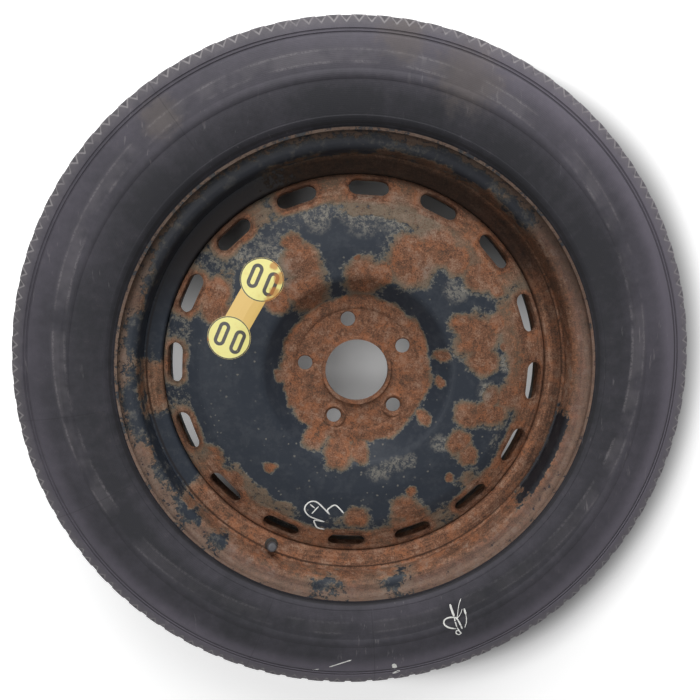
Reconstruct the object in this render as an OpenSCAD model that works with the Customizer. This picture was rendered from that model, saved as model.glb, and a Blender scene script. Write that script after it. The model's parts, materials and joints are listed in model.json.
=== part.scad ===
// Space saver spare wheel: narrow tyre on a welded pressed-steel wheel, with its snap-in valve.
// The wheel lies flat, its outer face up. The origin is the wheel's centre and +Z is its axis.

/* [Tyre] */
// Outside diameter of the tyre
tyre_d = 674.8; // [664:0.2:690]
// Width over the sidewalls
tyre_w = 135; // [133:0.5:141]
// Fall of the sidewall from its bulge to the shoulder
wall_drop = 13.4; // [10:0.2:16]
// Place of the bulge, as a share of the way from the shoulder to the bead
bulge_place = 0.569; // [0.54:0.001:0.6]
// Half width of the tread between its rounded shoulders
tread_half_w = 48.5; // [46:0.5:50]
// Drop of the tread from its middle to its shoulder
tread_drop = 2.9; // [2:0.1:4]
// Rubber from the tread's surface to the liner
tread_t = 11; // [9:0.5:14]
// Rubber of the sidewall
sidewall_t = 6.5; // [5:0.5:9]
// Depth of the grooves that run round the tread
groove_depth = 4; // [2:0.5:6]
// Width of the grooves that run round the tread
groove_w = 5; // [3:0.5:8]
// Distance of each groove from the tread's middle
groove_pos = 17; // [12:0.5:22]
// Notches round each shoulder
notch_count = 90; // [30:1:96]
// Width of a shoulder notch at the tread
notch_w = 7; // [4:0.5:9]
// Depth of a shoulder notch where it opens on the tread
notch_sink = 1; // [0.6:0.1:1.6]
// Height of the raised ribs on the sidewall
rib_h = 0.6; // [0.4:0.1:1]

/* [Rim] */
// Radius of the bead seat where the tyre sits
seat_r = 218.3; // [216:0.1:219]
// Width between the flanges
rim_w = 101.6; // [98:0.2:104]
// Height of the flange's outer edge over the bead seat
flange_h = 16.2; // [14:0.1:17.5]
// Length of the flange's turned-out lip
lip_len = 9.4; // [7:0.2:11]
// Steel thickness of the rim
rim_t = 2.6; // [2:0.1:3]
// Depth of the drop-centre well's inner face below the bead seat
well_depth = 20.7; // [19.5:0.1:22.5]
// Distance of the well's outer edge from the outer flange
well_top_in = 28.3; // [27:0.1:30]
// Distance of the well's inner edge from the inner flange
well_bottom_in = 36.8; // [34:0.1:38.5]
// Lean of the well's outer side wall, and of the valve
wall_lean = 16; // [12:0.5:18]

/* [Disc] */
// Steel thickness of the disc
disc_t = 4; // [3.5:0.1:4.5]
// Height of the hub pad's back face above the mid-plane
hub_z = 12; // [9:0.5:13]
// Radius of the centre bore
bore_r = 32.55; // [30:0.05:35]
// Height of the lip round the bore, above the hub pad
bore_lip = 4.5; // [3:0.5:6]
// Thickness of that lip
lip_t = 3.5; // [2.5:0.1:4]
// Radius of the flat hub pad
pad_r = 64; // [62:0.5:66]
// Rise of the step round the hub pad
pad_step = 1.8; // [1:0.1:2.5]
// Radius where the hub's wall starts to rise
hub_wall_r = 78; // [76:0.5:80]
// Radius of the crown's inner shoulder
crown_in_r = 97; // [95:0.5:100]
// Place of the crown's top between its two shoulders, as a share
crown_place = 0.475; // [0.4:0.005:0.55]
// Height of the crown's outer face above the mid-plane
crown_z = 40; // [38:0.5:42]
// Distance of the crown's outer shoulder in from the well
vent_ring_w = 39.6; // [36:0.1:42]
// Fall of the crown from its top to its outer shoulder
crown_fall = 4; // [3:0.5:5]
// Slope of the vent ring, down and outwards
vent_slope = 21; // [18:0.5:24]
// Distance of the skirt's edge from the well's inner edge
skirt_in = 7; // [5:0.5:10]
// Gap between the skirt and the well
skirt_fit = 0.15; // [0.05:0.05:0.3]
// Length of each weld, as an angle
weld_angle = 16; // [10:1:24]
// Leg of the weld fillets
weld_leg = 3; // [2:0.5:3.2]

/* [Bolt holes and vents] */
// Number of bolt holes
bolt_count = 5; // [4:1:5]
// Diameter of the bolt circle
bolt_pcd = 108; // [100:0.5:112]
// Radius of a bolt hole
bolt_hole_r = 7.5; // [6.5:0.25:8]
// Radius of the raised seat round a bolt hole
bolt_seat_r = 13.5; // [12.5:0.25:14]
// Angle of the first bolt hole, anticlockwise from +X
bolt_az = 27.5; // [0:0.5:72]
// Number of vents
vent_count = 16; // [12:1:16]
// Distance of the circle through the vents in from the well
vent_in = 14.1; // [13:0.1:15]
// Length of a vent along the ring
vent_len = 40; // [30:0.5:44]
// Width of a vent across the ring
vent_w = 16.5; // [12:0.5:17]
// Angle of the first vent
vent_az = 18.9; // [0:0.1:22.5]

/* [Valve] */
// Angle of the valve, anticlockwise from +X
valve_az = 243.7; // [0:0.1:359.9]
// Distance of the valve hole's centre out from the well's inner face
valve_out = 9.2; // [8.4:0.1:10]
// Radius of the valve hole
valve_hole_r = 5.75; // [5.6:0.05:5.9]
// Radius of the rubber base outside the rim
valve_base_r = 6.9; // [6.4:0.1:7]
// Height of the rubber above the rim
valve_rubber_h = 11; // [10:0.5:13]
// Height of the stem's end above the rim
stem_h = 18; // [17:0.5:20]
// Radius of the stem's threaded end
stem_r = 3.85; // [3.7:0.05:4]
// Radius of the stem's bore round the core
stem_bore_r = 2.6; // [2.5:0.05:2.8]
// Running clearance between the cap and the stem
cap_clear = 0.1; // [0.05:0.05:0.2]
// Wall of the cap
cap_wall = 0.95; // [0.8:0.05:1.2]
// Ribs round the cap
cap_rib_count = 24; // [12:1:30]
// Radius of the core pin
pin_r = 0.6; // [0.5:0.05:0.7]
// Wire radius of the core's spring
wire_r = 0.2; // [0.15:0.01:0.25]
// Turns of the core's spring
spring_turns = 5; // [3:1:6]

/* [Decal] */
// Radius of each round end of the decal
decal_end_r = 21.5; // [18:0.5:24]
// Width of the decal between its ends
decal_waist_w = 27; // [20:0.5:34]
// Thickness of the decal
decal_t = 0.25; // [0.2:0.05:0.4]
// Angle of the first round end, anticlockwise from +X
decal_az = 134.9; // [0:0.1:359.9]
// Angle from the first round end to the second
decal_span = 28.7; // [24:0.1:34]
// Place of the decal between the crown's inner shoulder and the vents, as a share
decal_place = 0.461; // [0.42:0.001:0.5]

/* [Hidden] */

$fn = 96;
// Gap left between pieces that seat on each other
seat_gap = 0.1;
// Length added to a cut so that it runs past the face it opens
past = 1;

flange_r = seat_r + flange_h;
well_r = seat_r - well_depth;
well_top_z = rim_w / 2 - well_top_in;
well_bottom_z = well_bottom_in - rim_w / 2;
skirt_z = well_bottom_z + skirt_in;

// Distance of the sidewall's top edge in from the tread's surface
shoulder_in = 6.4;
// Distance of the bead's outer face out from the flange, and of its top edge out from that face
bead_out = 2.2;
bead_top_out = 3;

tyre_r = tyre_d / 2;
shoulder_r = tyre_r - shoulder_in;
bead_out_r = flange_r + bead_out;
bead_top_r = bead_out_r + bead_top_out;
// The sidewall bulges about a circle that passes through the shoulder, and its top is at half the tyre's width
bulge_mid_r = shoulder_r - bulge_place * (shoulder_r - bead_top_r);
sidewall_r = (pow(shoulder_r - bulge_mid_r, 2) + pow(wall_drop, 2)) / (2 * wall_drop);
bulge_mid_z = tyre_w / 2 - rib_h - sidewall_r;

rim_mid_r = seat_r - rim_t / 2;
well_mid_r = well_r + rim_t / 2;
flange_mid_r = flange_r - rim_t / 2;
flange_mid_z = rim_w / 2 + rim_t / 2;
wall_top_z = well_top_z + (rim_mid_r - well_mid_r) * tan(wall_lean);

hub_face_z = hub_z + disc_t / 2;
skirt_mid_r = well_r - skirt_fit - disc_t / 2;
crown_out_r = well_r - vent_ring_w;
crown_top_r = crown_in_r + crown_place * (crown_out_r - crown_in_r);
vent_ring_r = well_r - vent_in;
decal_ring_r = crown_in_r + decal_place * (vent_ring_r - vent_w / 2 - crown_in_r);
valve_ring_r = well_r + valve_out;

cap_in_r = stem_r + cap_clear;
cap_out_r = cap_in_r + cap_wall;
core_h = stem_h - 1;
core_bottom_h = core_h - 9.5;
core_r = stem_bore_r - 0.08;
chamber_r = 1.6;
plunger_r = 1.9;
plunger_t = 1;
core_seal_t = 0.8;
cap_seal_t = 0.6;

function along(a, b) = (b - a) / norm(b - a);
function left_of(d) = [-d[1], d[0]];

// Points of a path whose corners [r, z, radius] are rounded with arcs
function corner_arc(p, a, b) =
    let (
        din = along([a[0], a[1]], [p[0], p[1]]),
        dout = along([p[0], p[1]], [b[0], b[1]]),
        turn = din[0] * dout[1] - din[1] * dout[0],
        angle = acos(max(-1, min(1, din * dout))),
        side = turn > 0 ? 1 : -1,
        start = [p[0], p[1]] - din * p[2] * tan(angle / 2),
        centre = start + left_of(din) * side * p[2],
        steps = max(2, ceil(angle / 11))
    )
    [for (i = [0:steps]) let (t = side * angle * i / steps, v = start - centre)
        centre + [v[0] * cos(t) - v[1] * sin(t), v[0] * sin(t) + v[1] * cos(t)]];

function rounded_path(c) = [for (i = [0:len(c) - 1])
    each (i == 0 || i == len(c) - 1 || c[i][2] == 0)
        ? [[c[i][0], c[i][1]]] : corner_arc(c[i], c[i - 1], c[i + 1])];

// Side of a path at a distance, positive to its left
function path_side(p, dist) = [for (i = [0:len(p) - 1])
    let (
        din = along(p[max(0, i - 1)], p[i == 0 ? 1 : i]),
        dout = along(p[i == len(p) - 1 ? i - 1 : i], p[min(len(p) - 1, i + 1)]),
        half = left_of(din + dout) / norm(din + dout)
    )
    p[i] + half * dist / (half * left_of(din))];

function reversed(p) = [for (i = [len(p) - 1:-1:0]) p[i]];

// Outline of a sheet of a given thickness along a path
function sheet(p, t) = concat(path_side(p, t / 2), reversed(path_side(p, -t / 2)));

function arc(centre, radius, from, to, steps) = [for (i = [0:steps])
    let (a = from + (to - from) * i / steps) centre + radius * [cos(a), sin(a)]];

module revolve() {
    rotate_extrude($fn = 180) children();
}

module ring(r_out, r_in, h) {
    difference() {
        cylinder(r = r_out, h = h);
        translate([0, 0, -past]) cylinder(r = r_in, h = h + 2 * past);
    }
}

// Tyre

// Height of the sidewall above the mid-plane at a radius, less a depth into the rubber
function wall_at(r, depth = 0) =
    bulge_mid_z + sqrt(pow(sidewall_r - depth, 2) - pow(r - bulge_mid_r, 2));
function wall_angle(r, depth = 0) = acos((r - bulge_mid_r) / (sidewall_r - depth));

tread_crown_r = (pow(tread_half_w, 2) + pow(tread_drop, 2)) / (2 * tread_drop);
tread_edge_r = tyre_r - tread_drop;
liner_r = tyre_r - tread_t;

// Thin rib by the bead, and the broad rib on the bulge that the tyre lies on
bead_rib_in = 3.6;
bead_rib_w = 2.4;
bulge_rib_w = 7;
bead_rib_r = bead_top_r + bead_rib_in;

// Pair of fine grooves under the shoulder
pair_place = 0.149;
pair_gap = 3.2;
fine_w = 1.1;
fine_depth = 0.9;
groove_pair_r = shoulder_r - pair_place * (shoulder_r - bead_top_r);

// Radius and height over the bulge of the points of a raised rib, or of a groove where h is negative
function relief(mid, w, h) = [[mid + w / 2 + abs(h), 0], [mid + w / 2, h],
    [mid - w / 2, h], [mid - w / 2 - abs(h), 0]];
function plain(from, to, steps) = [for (i = [0:steps]) [from + (to - from) * i / steps, 0]];

// Relief of the whole sidewall, from the shoulder to the bead
wall_relief = concat(
    plain(shoulder_r, groove_pair_r + 4, 2),
    relief(groove_pair_r + pair_gap / 2, fine_w, -fine_depth),
    relief(groove_pair_r - pair_gap / 2, fine_w, -fine_depth),
    plain(groove_pair_r - 5, bulge_mid_r + 5, 4),
    relief(bulge_mid_r, bulge_rib_w, rib_h),
    plain(bulge_mid_r - 5, bead_rib_r + 2.2, 5),
    relief(bead_rib_r, bead_rib_w, rib_h),
    [[bead_top_r, 0]]
);

// The bead, from its outer face round the flange's curve and along the seat to its toe and inner face
function bead_outline() = [
    [bead_out_r, wall_at(bead_out_r) - 2.4],
    [flange_r + 0.9, rim_w / 2 + 4.6],
    [flange_r - 4.2, rim_w / 2 - seat_gap],
    [seat_r + 5.2, rim_w / 2 - seat_gap],
    [seat_r + 1.2, rim_w / 2 - 3.6],
    [seat_r + seat_gap, rim_w / 2 - 6],
    [seat_r - 0.7, rim_w / 2 - 14],
    [seat_r + 2.6, rim_w / 2 - 17.4],
    [seat_r + 14, rim_w / 2 - 10.5],
];

// Radii on the liner where the bead's thicker rubber and the tread's thicker rubber begin
liner_bead_r = seat_r + 24;
liner_tread_r = liner_r - 18;

// Inside of the sidewall and of the shoulder, up to the liner under the tread
function liner_outline() =
    let (top_z = wall_at(liner_tread_r, sidewall_t))
    concat(
        arc([bulge_mid_r, bulge_mid_z], sidewall_r - sidewall_t,
            wall_angle(liner_bead_r, sidewall_t), wall_angle(liner_tread_r, sidewall_t), 10),
        [[liner_r - 7, top_z - 5.4], [liner_r - 2.2, top_z - 14], [liner_r, 22]]
    );

// One half of the rubber's outline, from the tread's middle to the liner's middle
function tyre_half() = concat(
    [for (i = [0:8]) let (z = tread_half_w * i / 8)
        [tyre_r - tread_crown_r + sqrt(pow(tread_crown_r, 2) - z * z), z]],
    [[shoulder_r + 1.6, (tread_half_w + wall_at(shoulder_r)) / 2 + 1.2]],
    [for (q = wall_relief) [q[0], wall_at(q[0]) + q[1]]],
    bead_outline(),
    liner_outline()
);

function mirrored(p) = [for (q = p) [q[0], -q[1]]];

// Groove whose sides lean out, from its floor to just past the tread's surface
module tread_groove(z) {
    floor_w = groove_w - 2;
    top_w = groove_w + 1;
    polygon([
        [tyre_r + past, z - top_w / 2],
        [tyre_r + past, z + top_w / 2],
        [tyre_r - groove_depth, z + floor_w / 2],
        [tyre_r - groove_depth, z - floor_w / 2],
    ]);
}

// Wedge that opens on the tread's edge and runs out to a point on the shoulder.
// Its floor runs straight from the tread's edge to the wall, so it is deepest on the round between.
notch_reach = 16.5;
notch_tip_w = 1;
notch_end_r = tyre_r - notch_reach;
notch_fall = atan2(wall_at(notch_end_r) - tread_half_w, tread_edge_r - notch_end_r);
notch_len = norm([wall_at(notch_end_r) - tread_half_w, tread_edge_r - notch_end_r]);

module shoulder_notch() {
    translate([tread_edge_r - notch_sink, 0, tread_half_w])
        rotate([0, notch_fall, 0])
            linear_extrude(height = notch_len / 2)
                polygon([
                    [notch_w, -notch_w / 2],
                    [notch_w, notch_w / 2],
                    [0, notch_w / 2],
                    [-notch_len, notch_tip_w / 2],
                    [-notch_len, -notch_tip_w / 2],
                    [0, -notch_w / 2],
                ]);
}

module tyre() {
    color([0.25, 0.25, 0.26])
    difference() {
        revolve() difference() {
            polygon(concat(reversed(mirrored(tyre_half())), tyre_half()));
            for (z = [-groove_pos, 0, groove_pos])
                tread_groove(z);
        }
        for (i = [0:notch_count - 1], side = [0, 1])
            rotate([0, 0, 360 * (i + side / 2) / notch_count])
                mirror([0, 0, side])
                    shoulder_notch();
    }
}

// Rim

// Radii of the bends from the flange into its lip and into the bead seat
flange_bend = 6.6;
seat_bend = 6;

// Middle line of the rolled barrel, from the outer lip over the safety humps and the well to the inner lip
function rim_path() = rounded_path([
    [flange_mid_r, flange_mid_z + lip_len, 0],
    [flange_mid_r, flange_mid_z, flange_bend],
    [rim_mid_r + 0.6, flange_mid_z, seat_bend],
    [rim_mid_r - 1.3, wall_top_z + 6.5, 8],
    [rim_mid_r - 0.2, wall_top_z + 3.2, 3],
    [rim_mid_r - 1.2, wall_top_z, 2.6],
    [well_mid_r, well_top_z, 2.8],
    [well_mid_r, well_bottom_z, 9],
    [rim_mid_r - 1.6, well_bottom_z - 15, 7],
    [rim_mid_r - 0.2, -flange_mid_z + 19, 4],
    [rim_mid_r - 1.3, -flange_mid_z + 15, 6],
    [rim_mid_r + 0.6, -flange_mid_z, seat_bend],
    [flange_mid_r, -flange_mid_z, flange_bend],
    [flange_mid_r, -flange_mid_z - lip_len, 0],
]);

// Frame of the valve: origin on the outside of the well's side wall, +Z out of the hole
module at_valve() {
    wall_z = well_top_z + (valve_ring_r - well_mid_r) * tan(wall_lean) + rim_t / 2 / cos(wall_lean);
    rotate([0, 0, valve_az])
        translate([valve_ring_r, 0, wall_z])
            rotate([0, -wall_lean, 0])
                children();
}

module rim() {
    color([0.42, 0.3, 0.24])
    difference() {
        revolve() polygon(sheet(rim_path(), rim_t));
        at_valve() translate([0, 0, -rim_t - past]) cylinder(r = valve_hole_r, h = rim_t + 2 * past);
    }
}

// Disc

// Height of the disc's middle line over the vents' sloping ring
function vent_ring_z(r) = crown_z - disc_t / 2 - crown_fall - (r - crown_out_r) * tan(vent_slope);

// Middle line of the pressed disc, from the centre bore to the skirt's edge
function disc_path() = rounded_path([
    [bore_r, hub_face_z, 0],
    [pad_r, hub_face_z, 3],
    [pad_r + 2.6, hub_face_z + pad_step, 3],
    [hub_wall_r, hub_face_z + pad_step, 7],
    [crown_in_r, crown_z - disc_t / 2 - 2.4, 10],
    [crown_top_r, crown_z - disc_t / 2, crown_out_r - crown_in_r],
    [crown_out_r, vent_ring_z(crown_out_r), 24],
    [skirt_mid_r, vent_ring_z(skirt_mid_r), 5],
    [skirt_mid_r, skirt_z, 0],
]);

// Outline of the disc's steel, with the lip turned out round the bore
function disc_outline() =
    let (
        p = disc_path(),
        face = path_side(p, disc_t / 2),
        face_z = hub_z + disc_t,
        top_z = face_z + bore_lip,
        lip_r = bore_r + lip_t
    )
    concat(
        [[bore_r, top_z], [lip_r - 0.8, top_z], [lip_r, top_z - 0.8],
            [lip_r, face_z + 1.2], [lip_r + 1.2, face_z]],
        [for (i = [1:len(face) - 1]) face[i]],
        reversed(path_side(p, -disc_t / 2))
    );

module vent_cutter() {
    end_r = vent_w / 2;
    straight = vent_len / 2 - end_r;
    translate([0, 0, -disc_t * 2]) {
        linear_extrude(height = disc_t * 4) square([vent_w, 2 * straight], center = true);
        for (side = [-1, 1])
            translate([0, side * straight, 0]) cylinder(r = end_r, h = disc_t * 4);
    }
}

// Cone that a wheel nut centres in: its start below the pad's face, the rise of the steel round it,
// and the height and flare of its cut
cone_low = 1.4;
cone_rise = 1.8;
cone_h = 4.92;
cone_flare = 4;

// Raised steel round a bolt hole
module bolt_seat() {
    pad_top = hub_z + disc_t;
    rotate_extrude($fn = 48)
        polygon([
            [bolt_hole_r, hub_face_z],
            [bolt_seat_r, hub_face_z],
            [bolt_seat_r, pad_top],
            [bolt_seat_r - 2.2, pad_top + cone_rise],
            [bolt_hole_r + 2.6, pad_top + cone_rise],
            [bolt_hole_r, pad_top - cone_low],
        ]);
}

module bolt_places() {
    for (i = [0:bolt_count - 1])
        rotate([0, 0, bolt_az + 360 * i / bolt_count])
            translate([bolt_pcd / 2, 0, 0])
                children();
}

module wheel_disc() {
    color([0.17, 0.19, 0.22])
    difference() {
        union() {
            revolve() polygon(disc_outline());
            bolt_places() bolt_seat();
        }
        bolt_places() translate([0, 0, hub_z - past]) cylinder(r = bolt_hole_r, h = disc_t + 2 * past);
        bolt_places()
            translate([0, 0, hub_z + disc_t - cone_low])
                cylinder(r1 = bolt_hole_r, r2 = bolt_hole_r + cone_flare, h = cone_h);
        for (i = [0:vent_count - 1])
            rotate([0, 0, vent_az + 360 * i / vent_count])
                translate([vent_ring_r, 0, vent_ring_z(vent_ring_r)])
                    rotate([0, vent_slope, 0])
                        vent_cutter();
    }
}

module weld_seams() {
    weld_count = 4;
    first_az = 45;
    color([0.36, 0.27, 0.22])
    for (i = [0:weld_count - 1])
        rotate([0, 0, first_az + 360 * i / weld_count - weld_angle / 2])
            rotate_extrude(angle = weld_angle, $fn = 180)
                polygon([
                    [well_r - seat_gap, skirt_z - seat_gap],
                    [well_r - seat_gap, skirt_z - seat_gap - weld_leg],
                    [well_r - 0.8 - weld_leg * 0.6, skirt_z - seat_gap - weld_leg * 0.6],
                    [well_r - 0.6 - weld_leg, skirt_z - seat_gap],
                ]);
}

// Valve

// Rubber plug: its foot inside the tyre, the neck in the rim's hole, the button outside and the stalk
module valve_body() {
    neck_r = valve_hole_r - 0.05;
    insert_r = stem_r - 0.4;
    color([0.13, 0.13, 0.13])
    at_valve() rotate_extrude($fn = 64)
        polygon([
            [insert_r, -12.5],
            [5, -12.5],
            [7, -8.5],
            [7.3, -rim_t - 2],
            [6.5, -rim_t - seat_gap],
            [neck_r, -rim_t - seat_gap],
            [neck_r, seat_gap],
            [valve_base_r - 1, 0.9],
            [valve_base_r, 1.6],
            [valve_base_r - 0.3, 2.6],
            [5.7, 3.6],
            [5.2, valve_rubber_h - 0.6],
            [4.7, valve_rubber_h],
            [insert_r, valve_rubber_h],
        ]);
}

// Brass insert: a long foot in the rubber, then the wider threaded end, bored out for the core
module valve_stem() {
    insert_r = stem_r - 0.45;
    passage_r = 1.6;
    shoulder_h = core_bottom_h - 4;
    color([0.72, 0.6, 0.3])
    at_valve() rotate_extrude($fn = 64)
        polygon([
            [passage_r, -12],
            [insert_r, -12],
            [insert_r, valve_rubber_h + seat_gap],
            [stem_r, valve_rubber_h + seat_gap],
            [stem_r, stem_h - 0.6],
            [stem_r - 0.6, stem_h],
            [stem_bore_r, stem_h],
            [stem_bore_r, shoulder_h],
            [passage_r, shoulder_h - 1],
        ]);
}

// Barrel that screws into the stem, hollow above for the pin's spring
module valve_core() {
    guide_r = pin_r + 0.08;
    color([0.8, 0.68, 0.36])
    at_valve() rotate_extrude($fn = 48)
        polygon([
            [guide_r, core_bottom_h],
            [core_r - 0.45, core_bottom_h],
            [core_r - 0.45, core_bottom_h + 3],
            [core_r, core_bottom_h + 3.2],
            [core_r, core_h],
            [chamber_r, core_h],
            [chamber_r, core_bottom_h + 2],
            [guide_r, core_bottom_h + 2],
        ]);
}

module core_gasket() {
    color([0.55, 0.16, 0.12])
    at_valve() translate([0, 0, core_bottom_h + 0.6])
        ring(stem_bore_r - 0.02, core_r - 0.43, 1.6);
}

// Pin with the plunger that closes the core from below and the collar that the spring lifts
module core_pin() {
    collar_h = core_h - 0.8;
    plunger_h = core_bottom_h - seat_gap - core_seal_t - plunger_t;
    color([0.82, 0.72, 0.42])
    at_valve() rotate_extrude($fn = 48)
        polygon([
            [0, plunger_h],
            [plunger_r, plunger_h],
            [plunger_r, plunger_h + plunger_t],
            [pin_r, plunger_h + plunger_t],
            [pin_r, collar_h],
            [chamber_r - 0.12, collar_h],
            [chamber_r - 0.12, collar_h + 0.6],
            [pin_r, collar_h + 0.6],
            [pin_r, stem_h - 0.5],
            [pin_r - 0.2, stem_h - 0.3],
            [0, stem_h - 0.3],
        ]);
}

module core_seal() {
    color([0.1, 0.1, 0.1])
    at_valve() translate([0, 0, core_bottom_h - seat_gap - core_seal_t + 0.02])
        ring(plunger_r - 0.15, pin_r + 0.03, core_seal_t);
}

// Wire of the spring, swept as a chain of short straight tubes with six sides
module core_spring() {
    turn_steps = 12;
    mid_r = chamber_r - 0.18 - wire_r;
    low = core_bottom_h + 2 + wire_r + 0.02;
    high = core_h - 0.8 - wire_r - 0.02;
    rings = spring_turns * turn_steps;
    sides = 6;
    function spot(i, j) =
        let (
            a = 360 * i / turn_steps,
            s = mid_r + wire_r * cos(360 * j / sides)
        )
        [s * cos(a), s * sin(a), low + (high - low) * i / rings + wire_r * sin(360 * j / sides)];
    color([0.7, 0.7, 0.72])
    at_valve() polyhedron(
        points = [for (i = [0:rings], j = [0:sides - 1]) spot(i, j)],
        faces = concat(
            [[for (j = [0:sides - 1]) j]],
            [for (i = [0:rings - 1], j = [0:sides - 1])
                let (k = (j + 1) % sides, a = i * sides, b = (i + 1) * sides)
                each [[a + j, b + j, a + k], [a + k, b + j, b + k]]],
            [[for (j = [sides - 1:-1:0]) rings * sides + j]]
        ));
}

// Ribbed cap with a domed top
module valve_cap() {
    skirt_h = valve_rubber_h + 0.5;
    seal_top = stem_h + seat_gap + cap_seal_t + 0.05;
    rib_r = 0.35;
    color([0.16, 0.16, 0.17])
    at_valve() difference() {
        union() {
            rotate_extrude($fn = 64)
                polygon([
                    [0, skirt_h],
                    [cap_out_r, skirt_h],
                    [cap_out_r - 0.15, seal_top],
                    [cap_out_r - 0.9, seal_top + 1],
                    [cap_out_r - 2.2, seal_top + 1.4],
                    [0, seal_top + 1.5],
                ]);
            for (i = [0:cap_rib_count - 1])
                rotate([0, 0, 360 * i / cap_rib_count])
                    translate([cap_out_r - 0.1, 0, skirt_h]) cylinder(r = rib_r, h = seal_top - skirt_h - 0.4);
        }
        translate([0, 0, skirt_h - past]) cylinder(r = cap_in_r, h = seal_top - skirt_h + past);
    }
}

module cap_seal() {
    color([0.08, 0.08, 0.08])
    at_valve() translate([0, 0, stem_h + seat_gap])
        ring(cap_in_r - 0.08, 1.3, cap_seal_t);
}

// Decal

// Outline seen along the wheel's axis: two round ends joined by a waist
module decal_outline() {
    waist_len = 2 * decal_ring_r * sin(decal_span / 2);
    for (a = [decal_az, decal_az + decal_span])
        rotate([0, 0, a]) translate([decal_ring_r, 0]) circle(r = decal_end_r);
    rotate([0, 0, decal_az + decal_span / 2])
        translate([decal_ring_r * cos(decal_span / 2) - decal_waist_w / 2, -waist_len / 2])
            square([decal_waist_w, waist_len]);
}

module decal() {
    color([0.9, 0.86, 0.42])
    intersection() {
        revolve() polygon(sheet(path_side(disc_path(), disc_t / 2 + seat_gap / 2 + decal_t / 2), decal_t));
        translate([0, 0, crown_z - 12]) linear_extrude(height = 24) decal_outline();
    }
}

tyre();
rim();
wheel_disc();
weld_seams();
valve_body();
valve_stem();
valve_core();
core_gasket();
core_pin();
core_seal();
core_spring();
valve_cap();
cap_seal();
decal();
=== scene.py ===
import json
import math

import bmesh
import bpy
from mathutils import Matrix, Vector
from mathutils.bvhtree import BVHTree


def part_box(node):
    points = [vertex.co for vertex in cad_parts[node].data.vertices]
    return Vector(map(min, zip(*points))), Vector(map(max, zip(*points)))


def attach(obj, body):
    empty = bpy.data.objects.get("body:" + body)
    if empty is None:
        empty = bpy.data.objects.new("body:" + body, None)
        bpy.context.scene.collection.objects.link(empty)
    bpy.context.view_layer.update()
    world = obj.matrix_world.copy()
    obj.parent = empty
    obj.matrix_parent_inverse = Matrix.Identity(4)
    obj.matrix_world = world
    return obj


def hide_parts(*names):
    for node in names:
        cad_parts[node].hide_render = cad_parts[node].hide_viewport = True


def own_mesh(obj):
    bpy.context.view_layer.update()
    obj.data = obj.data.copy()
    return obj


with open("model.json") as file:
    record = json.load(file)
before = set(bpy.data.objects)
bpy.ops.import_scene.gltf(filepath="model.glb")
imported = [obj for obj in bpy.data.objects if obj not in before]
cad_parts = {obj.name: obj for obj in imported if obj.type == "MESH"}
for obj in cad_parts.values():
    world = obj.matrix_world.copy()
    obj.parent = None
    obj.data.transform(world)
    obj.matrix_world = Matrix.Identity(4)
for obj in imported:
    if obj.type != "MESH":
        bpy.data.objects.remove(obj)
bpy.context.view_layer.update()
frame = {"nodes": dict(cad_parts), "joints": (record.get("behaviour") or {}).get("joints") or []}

bl_info = {
    "name": "Space saver spare wheel",
    "version": (1, 0, 0),
    "blender": (4, 5, 0),
    "location": "3D View > Sidebar > Spare wheel",
    "description": "Dresses the spare wheel: tyre, rusted steel, welds, valve, decal, pen marks and stage",
    "category": "Object",
}

# Lengths are in millimetres, and angles in degrees anticlockwise from +X, but a property's length is in metres.
# The wheel lies flat, outer face up, with its axis on Z.

NODES = frame["nodes"]
MM = 0.001
TYRE_LOW, TYRE_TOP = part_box("tyre")

# Tyre's outline: half the tread and its fall to the edge, the rubber's thickness, the rim's seat and flange,
# how far in or out of those the shoulder and bead stand, and the bulge of the sidewall
TREAD_HALF_W, TREAD_DROP, TREAD_T, SIDEWALL_T = 48.5, 2.9, 11.0, 6.5
SEAT_R, FLANGE_R, RIM_HALF_W = 218.3, 234.5, 50.8
SHOULDER_IN, BEAD_OUT, BEAD_TOP_OUT = 6.4, 2.2, 3.0
WALL_DROP, BULGE_PLACE, WALL_LIFT = 13.4, 0.569, 0.04
# Its grooves and ribs: the tread's side groove, the pair of fine grooves, and the ribs at the bulge and bead
GROOVE_PLACE, GROOVE_TOP, GROOVE_FLOOR, SIDE_GROOVE_SINK = 17.0, 2.7, 1.5, 0.3
FINE_PLACE, FINE_HALF_GAP, FINE_W, FINE_DEPTH = 0.149, 1.6, 1.1, 0.9
BULGE_RIB_W, BEAD_RIB_W, BEAD_RIB_OUT = 7.0, 2.4, 3.6
# Its shoulder notches: columns of mesh to each, how far in they reach and half their width there, and how close
# the two ends of the swept outline's mesh lie to be joined
COLUMNS_PER_NOTCH = 8
NOTCH_REACH, NOTCH_END_HALF_W = 11.0, 0.25
MERGE = 0.008
# What its rubber shows: painted shade in the gap at the bead, scuff rings round a middle off the axis, and
# mould lines
BEAD_GAP_R = 239.3
SCUFF_MIDDLE, SCUFF_BAND_R, SCUFF_INNER_R, SCUFF_OUTER_R = (-4.4, 16.4, 0.0), 279.0, 273.0, 284.0
FINE_GROOVES_R = 317.5
MOULD_LINES_AT = (125.0, 187.0, 205.0, 249.0, 273.0)

# Steel wheel: vents, hub pad, and where the rim's flange begins, its lines of painted shade run and its long
# streak lies
VENT_COUNT, VENT_AZ, VENT_RING_R, VENT_LEN, VENT_W = 16, 18.9, 183.5, 40.0, 16.5
HUB_R = 79.0
FLANGE_START_R, FLANGE_FOLD_SHADE_R, RIGHT_SHADE_LINE_R = 214.0, 212.3, 208.5
STREAK_R, STREAK_AT = 216.0, 336.0
# Welds behind the disc, as a row of ripples along each
WELDS, FIRST_WELD_AT, WELD_HALF_TURN, WELD_STEPS = 4, 45.0, 7.4, 16
WELD_R, WELD_Z, RIPPLE_R, RIPPLE_FLATNESS = 195.7, -8.1, 2.1, 0.55

# Spring: steps of its wire to a turn, and sides of the wire
STEPS_PER_TURN, WIRE_SIDES = 24, 10

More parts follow.
